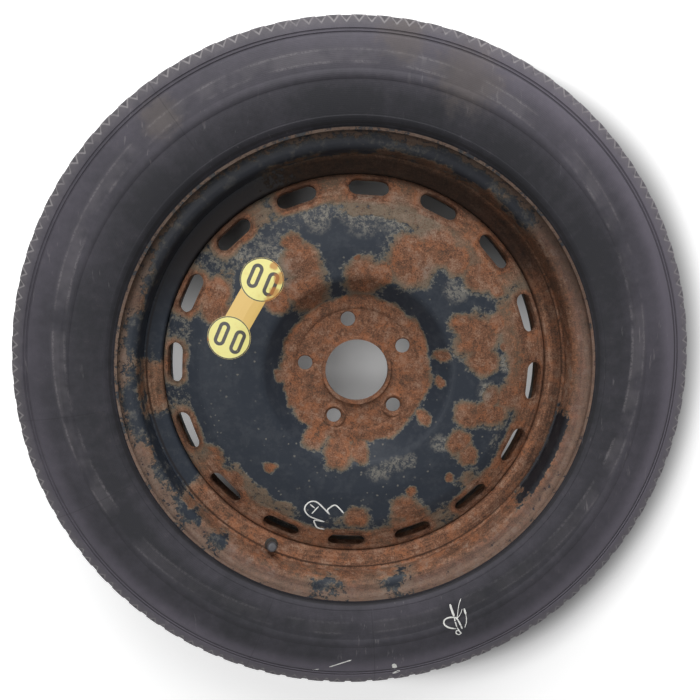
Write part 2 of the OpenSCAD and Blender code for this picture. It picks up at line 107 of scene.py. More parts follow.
# Decal: its two round ends and the plain ovals in them, as middles
DECAL_ENDS = [(-94.0, 94.3), (-127.7, 37.5)]
DECAL_END_R, DECAL_RING_IN = 21.5, 0.75
DECAL_OVALS = [(-100.5, 98.2), (-85.2, 89.8), (-134.4, 41.6), (-119.2, 33.2)]
OVAL_TURN = 66.0
OVAL_HALF_LEN, OVAL_HALF_W, OVAL_LINE = 12.4, 5.7, 1.75
DECAL_STAINS = [(-77, 95, 7), (-82, 82, 7), (-86, 74, 8), (-150, 36, 3), (-82, 108, 5)]

# Stage: half the floor and the middle of the shade on it; the picture's width and shift in pixels, the camera's
# sensor, and what it sees in metres; and the lamps' places and sizes in metres
FLOOR_HALF, SHADE_MIDDLE = 4000.0, (6.9, -21.1, 0.0)
PICTURE_W, SHIFT_PIXELS, SENSOR_W, NEAREST, FARTHEST = 700, (-5.8, 17.4), 36.0, 0.01, 20.0
KEY_AT, KEY_SIZE, SIDE_AT, SIDE_SIZE = (-0.05, 2.35, 1.55), 2.0, (-0.9, 0.2, 2.4), 1.4

# Rust patches on the disc: centre x, centre y, radius
RUST_PATCHES = [
    (53, 113, 28), (80, 125, 23), (100, 113, 17), (123, 97, 19), (142, 87, 14), (6, 96, 21), (24, 101, 13),
    (-55, 110, 21), (-51, 84, 23), (-78, 75, 15), (-64, 131, 11), (-137, 83, 16), (-140, 66, 15),
    (120, 37, 25), (128, 12, 18), (104, 49, 14), (88, 17, 8), (141, 50, 11),
    (113, -44, 15), (128, -42, 13), (142, -45, 15), (156, -25, 15), (137, -26, 11),
    (104, -73, 14), (117, -88, 11), (69, -50, 7), (56, -126, 6), (96, -112, 6), (150, 27, 4),
    (-2, -154, 14), (50, -144, 16), (62, -154, 14), (-90, -96, 6), (-80, -4, 6), (-67, -31, 8), (-20, -84, 17),
    (-44, -68, 12), (2, -84, 12), (84, -12, 6), (-1, 115, 4), (-150, -86, 13), (-128, -112, 13), (-66, 26, 9),
]
# Grey oxide and worn paint on the disc: centre x, centre y, radius. The row of four on the crown below the hub
# is also a painted highlight of the crown's sheen
OXIDE_AND_SHEEN_PATCHES = [
    (6, 158, 22), (40, 156, 20), (64, 152, 18), (-40, 152, 14), (66, 100, 12), (-108, 116, 12),
    (18, -105, 9), (30, -102, 9), (42, -97, 9), (53, -92, 8), (-82, 122, 12), (150, 8, 10),
    (130, -20, 10), (84, -74, 10), (98, 84, 12), (-72, 100, 16),
]

# Rust round the rim and the vents as (angle, amount), one list for each band. A ramp takes 32 stops.
MOST_STOPS = 32
FLANGE_RUST = [
    (0, 0.85), (38, 0.8), (43, 0.3), (52, 0.4), (60, 0.15), (80, 0.4), (84, 0.25), (100, 0.2), (108, 0.15),
    (128, 0.08), (140, 0.15), (154, 0.4), (160, 0.8), (167, 0.1), (176, 0.5), (181, 0.4), (185, 0.1),
    (194, 0.2), (199, 0.8), (206, 0.3), (211, 0.6), (219, 0.2), (224, 0.8), (230, 0.15), (234, 0.85),
    (255, 0.75), (261, 0.12), (268, 0.85), (274, 0.7), (280, 0.12), (287, 0.85), (320, 0.8),
]
WALL_RUST = [
    (0, 0.9), (50, 0.85), (60, 0.75), (100, 0.72), (112, 0.55), (122, 0.2), (132, 0.08), (172, 0.1),
    (178, 0.75), (189, 0.8), (194, 0.1), (212, 0.15), (217, 0.9), (300, 0.95),
]
RING_RUST = [
    (0, 0.95), (20, 0.9), (27, 0.5), (34, 0.85), (60, 0.9), (96, 0.8), (108, 0.9), (118, 0.45), (127, 0.85),
    (138, 0.6), (143, 0.3), (150, 0.75), (160, 0.75), (164, 0.2), (176, 0.7), (185, 0.25), (196, 0.7),
    (206, 0.6), (212, 0.85), (258, 0.9), (290, 0.85), (301, 0.55), (312, 0.9), (345, 0.95),
]
INNER_VENT_RUST = [
    (0, 0.85), (24, 0.75), (29, 0.3), (36, 0.8), (60, 0.65), (92, 0.6), (98, 0.3), (132, 0.25), (143, 0.55),
    (150, 0.85), (158, 0.5), (162, 0.08), (212, 0.1), (218, 0.6), (244, 0.6), (250, 0.1), (262, 0.4),
    (270, 0.55), (277, 0.2), (285, 0.85), (292, 0.2), (308, 0.15), (316, 0.7), (323, 0.1), (342, 0.3),
    (348, 0.85),
]

# Rubber round the tyre as (angle, amount): its pale bloom inside and outside the bulge, the inner also a
# painted sheen lightest at the top, and the painted shade in the fine grooves; then patches of dry dirt as
# centre x, centre y, radius
INNER_BLOOM_AND_SHEEN = [
    (0, 0.6), (30, 0.75), (60, 0.85), (90, 0.8), (120, 0.6), (150, 0.5), (180, 0.35), (215, 0.35), (260, 0.2),
    (290, 0.3), (320, 0.45), (345, 0.55),
]
OUTER_BLOOM = [
    (0, 0.75), (40, 0.6), (70, 0.35), (110, 0.1), (180, 0.12), (205, 0.55), (240, 0.75), (300, 0.7),
    (340, 0.75),
]
GROOVE_SHADE_BY_ANGLE = [(0, 0.6), (60, 0.35), (100, 0.1), (190, 0.15), (230, 0.5), (300, 0.6)]
DRY_DIRT = [(100, 278, 42), (40, 312, 30), (-180, 240, 26)]

# How finely pen and paint strokes are laid, half how thick they are, how far they stand off the surface,
# and the height in metres that they are dropped from; then each as its half width and points
STROKE_STEP, STROKE_T, STROKE_LIFT = 1.2, 0.05, 0.03
ABOVE_ALL = 0.2
DISC_STROKES = [
    (0.75, [(-14.9, -148.1), (-19.7, -142.0), (-23.9, -138.7), (-28.8, -141.2), (-31.8, -144.9),
            (-29.4, -149.4)]),
    (0.75, [(-29.4, -149.4), (-39.5, -137.8), (-44.9, -134.2), (-50.3, -135.0), (-54.5, -139.3),
            (-55.2, -144.4), (-52.3, -149.5), (-47.5, -153.1), (-34.9, -158.2)]),
    (0.75, [(-34.9, -158.3), (-45.1, -156.4), (-45.2, -160.3), (-42.2, -166.0), (-35.0, -168.0)]),
    (0.65, [(-49.7, -137.5), (-45.0, -141.7)]),
    (0.65, [(-40.8, -139.9), (-48.0, -148.3)]),
]
TYRE_STROKES = [
    (0.6, [(-31.3, -307.0), (-20.0, -302.6), (-8.3, -298.3)]),
    (0.6, [(-48.8, -311.6), (-42.2, -309.7)]),
    (2.4, [(36.1, -305.7), (38.6, -312.9)]),
    (1.3, [(35.8, -320.0), (43.5, -317.0)]),
    (1.1, [(94.2, -238.9), (95.9, -244.7), (98.4, -251.6)]),
    (0.6, [(98.4, -252.0), (101.2, -262.6), (104.9, -269.2), (106.4, -270.9), (103.8, -272.7), (101.0, -270.7),
           (101.4, -267.8), (104.8, -268.4)]),
    (0.8, [(100.9, -265.5), (93.0, -263.6), (88.1, -259.7), (88.6, -255.4), (92.8, -253.0), (98.7, -252.9),
           (101.8, -254.6), (104.9, -260.3), (107.3, -266.0)]),
    (0.35, [(105.6, -233.0), (103.2, -240.2), (101.5, -254.5)]),
    (1.0, [(108.7, -243.2), (110.7, -250.0)]),
    (0.45, [(110.7, -250.0), (111.3, -258.1), (109.9, -264.8)]),
    (0.35, [(100.3, -255.3), (104.7, -249.8), (106.7, -243.5)]),
]


def srgb(red, green, blue):
    """Linear colour of an 8-bit screen colour."""
    shares = (red / 255, green / 255, blue / 255)
    return tuple(c / 12.92 if c <= 0.04 else ((c + 0.055) / 1.055) ** 2.4 for c in shares)


def colour_property(name, description, colour):
    return bpy.props.FloatVectorProperty(name=name, description=description, default=srgb(*colour),
                                         subtype="COLOR", size=3, min=0, max=1)


def length_property(name, description, default, low, high):
    return bpy.props.FloatProperty(name=name, description=description, default=default, min=low, max=high,
                                   precision=5, unit="LENGTH")


class SpareTyreSettings(bpy.types.PropertyGroup):
    outside_r: length_property("Tyre radius", "From the axis to the middle of the tread",
                               round(TYRE_TOP.x, 5), 0.3, 0.4)
    half_width: length_property("Half width", "From the mid-plane to the widest point",
                                round(TYRE_TOP.z, 5), 0.06, 0.075)
    groove_depth: length_property("Tread groove depth", "Depth of the grooves round the tread",
                                  0.004, 0.001, 0.007)
    notch_count: bpy.props.IntProperty(name="Shoulder notches", description="Notches round each shoulder",
                                       default=90, min=30, max=96)
    notch_w: length_property("Notch width", "Width of a notch where it opens on the tread",
                             0.0105, 0.003, 0.012)
    notch_sink: length_property("Notch depth", "Depth of a notch at the tread's edge", 0.0007, 0.0003, 0.002)
    rib_h: length_property("Rib height", "Height of the ribs that run round the sidewall", 0.0006, 0.0, 0.001)
    rubber: colour_property("Rubber", "Colour of clean tyre rubber", (41, 41, 45))
    # The bloom colour is also the painted sheen on the inner sidewall
    bloom: colour_property("Bloom", "Colour of the rubber's pale bloom", (92, 88, 97))
    dust: colour_property("Dust", "Colour of dust and dry mud", (100, 92, 84))
    shoulder: colour_property("Shoulder", "Colour of the scuffed shoulder", (108, 104, 106))
    scuff: colour_property("Scuff", "Colour of the two scuff rings", (118, 114, 117))
    scratch: colour_property("Scratch", "Colour of the fine scratches", (124, 120, 122))
    # The notches' pale edge is a painted highlight, and their hollow is painted shade
    notch_edge_highlight: colour_property("Worn edge", "Colour of the notches' worn zigzag edge", (144, 140, 141))
    notch_shade: colour_property("Hollow", "Colour of the rubber between the notches", (36, 35, 37))
    # Painted shade in the fine grooves and in the gap at the bead
    groove_shade: colour_property("Crease", "Colour of the fine grooves round the sidewall", (24, 24, 26))
    bead_gap_shade: colour_property("Bead gap", "Colour of the gap between the bead and flange", (26, 25, 26))
    mould_line: colour_property("Mould line", "Colour of the mould's lines across the sidewall", (30, 30, 32))


class SpareSteelSettings(bpy.types.PropertyGroup):
    paint: colour_property("Paint", "Colour of the wheel's paint", (38, 43, 51))
    worn_paint: colour_property("Worn paint", "Colour of dull, weathered paint", (62, 65, 70))
    dusty_paint: colour_property("Dusty paint", "Colour of the paint round a rust patch", (86, 84, 76))
    rust: colour_property("Rust", "Main colour of the rust", (122, 85, 65))
    fresh_rust: colour_property("Fresh rust", "Colour of the brightest rust", (146, 93, 63))
    old_rust: colour_property("Old rust", "Colour of the darkest rust", (84, 58, 46))
    pits: colour_property("Pits", "Colour in the pits of the rust", (44, 31, 26))
    crumbs: colour_property("Crumbs", "Colour of the loose light crumbs of rust", (158, 126, 104))
    rust_edge: colour_property("Rust edge", "Colour of a rust patch's edge", (102, 92, 78))
    flange_rust: colour_property("Flange rust", "Colour of the rust where the flange is rubbed", (116, 96, 92))
    oxide: colour_property("Oxide", "Colour of the pale oxide at the rust's edge", (124, 120, 112))
    # Besides scale, this colour is the painted shade in the rim's well and folds and at the top of the disc's
    # edge
    shade_and_scale_colour: colour_property("Soot", "Colour of the dark scale and dirt in the folds", (26, 20, 18))
    spread: bpy.props.FloatProperty(name="Rust spread", description="Adds to the rusted share everywhere",
                                    default=0.0, min=-0.5, max=0.5)
    scale_depth: length_property("Rust scale", "Height of the rust's rough scale", 0.0005, 0.0, 0.002)
    ripple_step: length_property("Weld ripple", "Distance between ripples along a weld", 0.0014, 0.0008, 0.003)


class SpareValveSettings(bpy.types.PropertyGroup):
    rubber: colour_property("Valve rubber", "Colour of the valve's rubber", (44, 45, 43))
    brass: colour_property("Brass", "Colour of the stem, core and pin", (178, 150, 92))
    cap: colour_property("Cap", "Colour of the plastic cap", (58, 57, 60))
    seal: colour_property("Seal", "Colour of the washers", (34, 34, 35))
    gasket: colour_property("Gasket", "Colour of the core's gasket", (128, 48, 40))
    spring: colour_property("Spring", "Colour of the core's spring", (176, 176, 180))
    spring_turns: bpy.props.FloatProperty(name="Spring turns", description="Turns of wire in the core's spring",
                                          default=5.0, min=3.0, max=6.0)
    wire_r: length_property("Spring wire", "Radius of the spring's wire", 0.0002, 0.00015, 0.00025)
    coil_r: length_property("Spring radius", "From the spring's axis to the middle of its wire",
                            0.00122, 0.0011, 0.0013)


class SpareDecalSettings(bpy.types.PropertyGroup):
    film: colour_property("Film", "Colour of the decal's film", (226, 218, 134))
    waist: colour_property("Waist", "Faded colour between the two discs", (214, 178, 98))
    ink: colour_property("Ink", "Colour of the printed rings and ovals", (34, 31, 26))
    stain: colour_property("Stain", "Colour of the rust stain on the film", (176, 112, 52))
    pen: colour_property("Pen", "Colour of the pen and paint marks", (214, 214, 210))


class SpareStageSettings(bpy.types.PropertyGroup):
    lens: bpy.props.FloatProperty(name="Lens", description="Focal length on a 36 mm sensor",
                                  default=34.9, min=10, max=200, subtype="DISTANCE_CAMERA")
    distance: length_property("Camera distance", "From the wheel's centre", 0.7218, 0.3, 5.0)
    tilt: bpy.props.FloatProperty(name="Camera tilt", description="Lean of the view from the wheel's axis",
                                  default=math.radians(10.2), min=0, max=1.5, subtype="ANGLE")
    lean_towards: bpy.props.FloatProperty(name="Tilt direction", description="Angle the camera leans towards",
                                          default=math.radians(108.2), min=0, max=6.3, subtype="ANGLE")
    key_power: bpy.props.FloatProperty(name="Key light", description="Power of the large soft lamp",
                                       default=80, min=0, max=1000, unit="POWER")
    side_power: bpy.props.FloatProperty(name="Side light", description="Power of the smaller lamp at the left",
                                        default=20, min=0, max=1000, unit="POWER")
    sky: bpy.props.FloatProperty(name="Sky", description="Strength of the even light from all round",
                                 default=0.2, min=0, max=3)
    floor: colour_property("Floor", "Colour of the floor", (250, 250, 250))
    floor_shade: colour_property("Floor shade", "Colour of the close shade beside the tyre", (30, 30, 34))


SETTINGS = {
    "spare_tyre": SpareTyreSettings,
    "spare_steel": SpareSteelSettings,
    "spare_valve": SpareValveSettings,
    "spare_decal": SpareDecalSettings,
    "spare_stage": SpareStageSettings,
}


class Value:
    """A socket that takes part in sums."""

    def __init__(self, sheet, socket):
        self.sheet = sheet
        self.socket = socket

    def __add__(self, other):
        return self.sheet.math("ADD", self, other)

    __radd__ = __add__

    def __sub__(self, other):
        return self.sheet.math("SUBTRACT", self, other)

    def __rsub__(self, other):
        return self.sheet.math("SUBTRACT", other, self)

    def __mul__(self, other):
        return self.sheet.math("MULTIPLY", self, other)

    __rmul__ = __mul__

    def __truediv__(self, other):
        return self.sheet.math("DIVIDE", self, other)

    def __rtruediv__(self, other):
        return self.sheet.math("DIVIDE", other, self)

    def __neg__(self):
        return self.sheet.math("MULTIPLY", self, -1.0)

    def __abs__(self):
        return self.sheet.math("ABSOLUTE", self)

    def __lt__(self, other):
        return self.sheet.math("LESS_THAN", self, other)

    def __gt__(self, other):
        return self.sheet.math("GREATER_THAN", self, other)


class NodeSheet:
    """Adds nodes to one shader or geometry tree."""

    def __init__(self, tree):
        self.tree = tree

    def node(self, kind, settings=None, sockets=None):
        """The one way in for a node: its settings first, then the values or links of its sockets."""
        made = self.tree.nodes.new(kind)
        for name, setting in (settings or {}).items():
            if name == "stops":
                ramp = made.color_ramp
                while len(ramp.elements) > 1:
                    ramp.elements.remove(ramp.elements[-1])
                for index, (place, colour) in enumerate(setting):
                    element = ramp.elements[0] if index == 0 else ramp.elements.new(place)
                    element.position = place
                    element.color = (*(colour if hasattr(colour, "__len__") else (colour,) * 3), 1.0)
            else:
                setattr(made, name, setting)
        for name, given in (sockets or {}).items():
            self.fill(made.inputs[name], given)
        return made

    def fill(self, socket, given):
        if isinstance(given, Value):
            self.tree.links.new(given.socket, socket)
        elif isinstance(given, bpy.types.NodeSocket):
            self.tree.links.new(given, socket)
        elif hasattr(given, "__len__") and socket.type == "RGBA" and len(given) == 3:
            socket.default_value = (*given, 1.0)
        else:
            socket.default_value = given

    def math(self, operation, *values):
        made = self.node("ShaderNodeMath", {"operation": operation}, dict(enumerate(values)))
        return Value(self, made.outputs[0])

    def vector(self, operation, *values, scale=None):
        sockets = dict(enumerate(values))
        if scale is not None:
            sockets["Scale"] = scale
        made = self.node("ShaderNodeVectorMath", {"operation": operation}, sockets)
        return Value(self, made.outputs["Value" if operation in ("LENGTH", "DISTANCE") else "Vector"])

    def parts(self, vector):
        made = self.node("ShaderNodeSeparateXYZ", None, {0: vector})
        return [Value(self, socket) for socket in made.outputs]

    def join(self, x, y, z):
        return Value(self, self.node("ShaderNodeCombineXYZ", None, {0: x, 1: y, 2: z}).outputs[0])

    def clamp(self, value, low=0.0, high=1.0):
        return self.math("MINIMUM", self.math("MAXIMUM", value, low), high)

    def seen(self):
        """1 for rays that show the backdrop, straight, in a gloss or through glass; 0 for rays of light."""
        path = self.node("ShaderNodeLightPath").outputs
        kinds = ("Is Camera Ray", "Is Glossy Ray", "Is Transmission Ray")
        straight, mirrored, through = (Value(self, path[kind]) for kind in kinds)
        return self.math("MAXIMUM", self.math("MAXIMUM", straight, mirrored), through)


class Finish(NodeSheet):
    """One material, worked out in millimetres on the piece's own place."""

    def __init__(self, name):
        self.material = bpy.data.materials.new(name)
        self.material.use_nodes = True
        super().__init__(self.material.node_tree)
        self.tree.nodes.clear()
        place = self.node("ShaderNodeTexCoord").outputs["Object"]
        self.mm = self.vector("SCALE", place, scale=1.0 / MM)

    def noise(self, size, detail=3.0, rough=0.55, at=None, offset=None):
        """Soft noise from 0 to 1 with features of that size."""
        place = at or self.mm
        if offset is not None:
            place = self.vector("ADD", place, offset)
        made = self.node("ShaderNodeTexNoise", {"noise_dimensions": "3D"},
                         {"Vector": place, "Scale": 1.0 / size, "Detail": detail, "Roughness": rough})
        return Value(self, made.outputs["Fac"])

    def cells(self, size, at):
        """Distance to the nearest of scattered points, which lie about that size apart."""
        made = self.node("ShaderNodeTexVoronoi", {"feature": "F1", "voronoi_dimensions": "3D"},
                         {"Vector": at, "Scale": 1.0 / size})
        return Value(self, made.outputs["Distance"])

    def step(self, value, low, high):
        """0 below low and 1 above high, smooth between; the other way round where low is the greater number."""
        if not isinstance(low, Value) and low > high:
            return 1.0 - self.step(value, high, low)
        made = self.node("ShaderNodeMapRange", {"interpolation_type": "SMOOTHSTEP"},
                         {"Value": value, "From Min": low, "From Max": high})
        return Value(self, made.outputs["Result"])

    def line(self, value, middle, outer, inner):
        """1 within inner of the middle and 0 beyond outer."""
        return self.step(abs(value - middle), outer, inner)

    def mix(self, share, first, second):
        """First colour at share 0, second at 1."""
        made = self.node("ShaderNodeMix", {"data_type": "RGBA"}, {0: share, 6: first, 7: second})
        return Value(self, made.outputs[2])

    def blend(self, share, first, second):
        """The same for numbers."""
        return first + (second - first) * share

    def polar(self, place):
        """Angle as a share of a turn, distance from the axis, and height."""
        x, y, z = self.parts(place)
        turn = self.math("FRACT", self.math("ARCTAN2", y, x) / math.tau + 1.0)
        return turn, self.vector("LENGTH", self.join(x, y, 0.0)), z

    def round_band(self, turn, amounts):
        """An amount that changes with the angle, from its list of stops."""
        closing = amounts[0][1] if amounts[0][0] == 0 else amounts[-1][1]
        stops = [(angle / 360.0, amount) for angle, amount in amounts]
        if len(stops) < MOST_STOPS:
            stops.append((1.0, closing))
        made = self.node("ShaderNodeValToRGB", {"stops": stops}, {0: turn})
        return Value(self, made.outputs["Color"])

    def patches(self, place, listed):
        """1 at the middle of the nearest patch, falling to 0 at its edge and below beyond it."""
        best = None
        for x, y, radius in listed:
            away = self.vector("DISTANCE", place, (x, y, 0.0))
            inside = 1.0 - away / radius
            best = inside if best is None else self.math("MAXIMUM", best, inside)
        return best

    def surface(self, colour, roughness, normal, **others):
        """Ends the material; others are sockets of the shader in lower case."""
        sockets = {"Base Color": colour, "Roughness": roughness, "Normal": normal}
        if "coat" in others:
            sockets["Coat Weight"] = others.pop("coat")
        for name, given in others.items():
            sockets[name.replace("_", " ").title().replace("Ior", "IOR")] = given
        shader = self.node("ShaderNodeBsdfPrincipled", None, sockets)
        self.node("ShaderNodeOutputMaterial", None, {"Surface": shader.outputs[0]})
        return self.material

    def bump(self, height, distance, strength=1.0):
        sockets = {"Height": height, "Distance": distance, "Strength": strength}
        return Value(self, self.node("ShaderNodeBump", None, sockets).outputs["Normal"])


class SteelFinish(Finish):
    """A finish for pressed steel, with the place and the noises that its paint and rust share."""

    def __init__(self, name):
        super().__init__(name)
        wander = self.node("ShaderNodeTexNoise", None,
                           {"Vector": self.mm, "Scale": 1 / 22.0, "Detail": 3.0, "Roughness": 0.6})
        self.wander = Value(self, wander.outputs["Fac"])
        self.drift = self.vector("SUBTRACT", wander.outputs["Color"], (0.5, 0.5, 0.5))
        moved = self.vector("ADD", self.mm, self.vector("SCALE", self.drift, scale=15.0))
        self.turn, self.r, self.z = self.polar(self.mm)
        self.x, self.y, _ = self.parts(moved)
        self.flat = self.join(self.x, self.y, 0.0)
        _, self.moved_r, _ = self.polar(moved)
        self.coarse, self.mottle = self.noise(14.0, 4.0, 0.62), self.noise(4.6, 4.0, 0.68)
        self.grain = self.noise(1.4, 3.0, 0.7)
        self.shaken = self.turn + (self.coarse - 0.5) * 0.02


def disc_wear(f):
    """Where the disc is rusted, worn, hidden behind, dark with scale round the vents and with painted shade at
    its upper edge, and how its rust sweeps round and speckles; its worn share also holds a painted highlight on
    the crown.
    """
    ring = f.round_band(f.shaken, RING_RUST)
    inner = f.round_band(f.shaken, INNER_VENT_RUST)
    patch = f.clamp(f.patches(f.flat, RUST_PATCHES) * 1.3 + 0.5, -0.3, 1.0)
    hub = f.step(f.moved_r, HUB_R + 4.0, HUB_R - 5.0)
    amount = f.blend(f.step(f.moved_r, 147.0, 158.0), patch, f.math("MAXIMUM", patch, inner))
    amount = f.blend(f.step(f.moved_r, 166.0, 175.0), amount, ring)
    amount = f.math("MAXIMUM", amount, hub)
    # Rust creeps in from the edge of each vent
    pitch = 360.0 / VENT_COUNT
    across = f.math("FRACT", (f.turn * 360.0 - VENT_AZ) / pitch + 0.5) - 0.5
    along = abs(across * (math.radians(pitch) * VENT_RING_R))
    past_end = f.math("MAXIMUM", along - (VENT_LEN - VENT_W) / 2, 0.0)
    from_vent = f.vector("LENGTH", f.join(past_end, f.r - VENT_RING_R, 0.0)) - VENT_W / 2
    amount = amount + f.step(from_vent, 9.0, 1.0) * 0.3
    # Pale oxide and worn paint, and along the crown below the hub a painted highlight of the crown's sheen
    worn = f.clamp(f.patches(f.flat, OXIDE_AND_SHEEN_PATCHES) * 1.5 + 0.3)
    back = f.step(f.z, 6.0, -2.0)
    sweeping, speckled = f.step(f.r, 158.0, 172.0) * 0.6 + 0.2, 1.0
    # Painted shade at the top of the disc's outer edge
    shade_and_scale = f.step(f.r, 190.0, 196.0) * f.step(f.y, 60.0, 150.0) * 0.5
    # Dark scale round the edge of each vent
    shade_and_scale = shade_and_scale + f.step(from_vent + (f.mottle - 0.5) * 3.0, 2.6, 0.6) * 0.35
    return amount, worn, back, shade_and_scale, sweeping, speckled


def rim_wear(f):
    """The same for the rim."""
    wall = f.round_band(f.shaken, WALL_RUST)
    flange = f.round_band(f.shaken, FLANGE_RUST)
    amount = f.blend(f.step(f.moved_r, FLANGE_START_R, FLANGE_START_R + 4.5), wall, flange)
    # A long streak of bare paint under the flange
    along = abs(f.turn * 360.0 - STREAK_AT + (f.coarse - 0.5) * 30.0)
    streak = f.step(abs(f.r - STREAK_R + (f.mottle - 0.5) * 6.0), 3.6, 2.2) * f.step(along, 16.0, 11.0)
    amount = amount - streak * 0.75
    lip = f.step(f.moved_r, 223.0, 230.0)
    amount = f.blend(lip * 0.8, amount, 0.62)
    worn = f.step(f.coarse, 0.55, 0.66) * f.step(f.r, 212.0, 218.0) * 0.7
    back = f.step(f.z, 4.0, -6.0)
    # Painted shade in the upper well and in the folds at the right and below the flange; darker too at the top
    # of the flange and along the streak
    upper = f.step(f.y, 20.0, 120.0)
    upper_well_shade = f.step(f.r, 216.0, 209.0) * f.step(f.y, 40.0, 130.0) * 0.85
    shade_and_scale = upper_well_shade + f.step(f.r, 209.0, 216.0) * upper * 0.4
    shade_and_scale = f.math("MAXIMUM", shade_and_scale, streak * 0.6)
    right = f.step(abs(f.r - RIGHT_SHADE_LINE_R + (f.mottle - 0.5) * 4.0), 6.5, 2.0) * f.step(f.x, 60.0, 180.0)
    shade_and_scale = f.math("MAXIMUM", shade_and_scale, right * 0.5)
    fold_shade = f.step(abs(f.r - FLANGE_FOLD_SHADE_R + (f.mottle - 0.5) * 1.6), 1.5, 0.4)
    shade_and_scale = f.math("MAXIMUM", shade_and_scale, fold_shade * 0.7)
    return amount, worn, back, shade_and_scale, 0.95, 0.4


def rusted_paint(name, steel, wear):
    """Thin dark paint on pressed steel, with rust in the places where this wheel has it."""
    f = SteelFinish(name)
    coarse, mottle, grain = f.coarse, f.mottle, f.grain
    amount, worn, back, shade_and_scale, sweeping, speckled = wear(f)
    # Out of sight behind, the rust lies in broad even patches
    amount = f.blend(back, amount, f.noise(48.0, 2.0, offset=(0.0, 0.0, 70.0)) * 1.7 - 0.28)

    level = amount + steel.spread + (coarse - 0.5) * 0.7 + (mottle - 0.5) * 0.8 + (grain - 0.5) * 0.3
    rusty = f.step(level, 0.46, 0.54)
    halo = f.step(level, 0.26, 0.46) * f.step(level, 0.78, 0.52)
    speckle = f.step(mottle * 0.55 + grain * 0.3 + coarse * 0.15, 0.45, 0.56)

    # Paint: plain, dulled where it has weathered, dusty near rust, and pale where it has chipped and worn, and
    # on the disc's crown pale as a painted highlight too
    near = f.vector("ADD", f.mm, f.vector("SCALE", f.drift, scale=4.0))
    chips = f.step(f.cells(7.0, near) + (grain - 0.5) * 0.3, 0.2, 0.1) * f.step(f.wander, 0.46, 0.6)
    dull = f.clamp(f.step(coarse * 0.6 + mottle * 0.4, 0.45, 0.62) * 0.4 + worn * 0.6)
    painted = f.mix(dull, tuple(steel.paint), tuple(steel.worn_paint))
    pale = f.clamp((chips * 0.6 + (worn * 0.75 + halo * 0.55) * speckle) * speckled)
    dusty = f.step(level, 0.28, 0.46) * f.step(mottle, 0.3, 0.5) * (0.1 + speckled * 0.45)
    painted = f.mix(dusty, painted, tuple(steel.dusty_paint))
    painted = f.mix(pale, painted, tuple(steel.oxide))

    # Rust: a brown ground of dark pits and light crumbs, with orange blooms, and grey oxide towards its edge
    sweep = f.noise(9.0, 3.0, 0.6, at=f.join(f.x / f.r * 70.0, f.y / f.r * 70.0, f.r * 3.4))
    tone = (coarse - 0.5) * 0.8 + (mottle - 0.5) * 0.9 + (grain - 0.5) * 1.4 + (sweep - 0.5) * sweeping
    tone = f.clamp(tone + 0.54)
    shades = [(0.0, tuple(steel.pits)), (0.3, tuple(steel.old_rust)), (0.62, tuple(steel.rust)),
              (1.0, tuple(steel.crumbs))]
    ground = f.node("ShaderNodeValToRGB", {"stops": shades}, {0: tone}).outputs["Color"]
    bloom = f.step(f.noise(17.0, 4.0, 0.6, offset=(15.0, 33.0, 0.0)), 0.47, 0.62) * f.step(level, 0.6, 1.0)
    rusted = f.mix(bloom * f.step(tone, 0.25, 0.6) * 0.6, ground, tuple(steel.fresh_rust))
    grey = f.clamp(halo * (0.4 + speckled * 0.8) + worn * 0.6 + f.step(coarse, 0.5, 0.6) * 0.25)
    rusted = f.mix(grey * f.step(tone, 0.3, 0.75) * 0.7, rusted, tuple(steel.oxide))
    if wear is rim_wear:
        rubbed = f.step(f.moved_r, FLANGE_START_R, FLANGE_START_R + 12.0) * (0.2 + grain * 0.5)
        rusted = f.mix(rubbed, rusted, tuple(steel.flange_rust))
    edge = f.step(level, 1.0, 0.6) * f.step(mottle, 0.3, 0.5) * (0.2 + speckled * 0.5)
    rusted = f.mix(edge, rusted, tuple(steel.rust_edge))

    # Painted shade in the well, the folds and the disc's upper edge, and dark scale round the vents, laid over
    # the paint and rust
    colour = f.mix(shade_and_scale, f.mix(rusty, painted, rusted), tuple(steel.shade_and_scale_colour))
    roughness = f.blend(rusty, f.blend(dull, 0.46, 0.62) + pale * 0.25, 0.9)
    scale = rusty * (tone * 0.6 + 0.4) + pale * (1.0 - rusty) * 0.25
    normal = f.bump(scale, steel.scale_depth)
    return f.surface(colour, roughness, normal, coat=(1.0 - rusty) * (1.0 - pale) * 0.04, coat_roughness=0.42,
                     specular_ior_level=0.15)


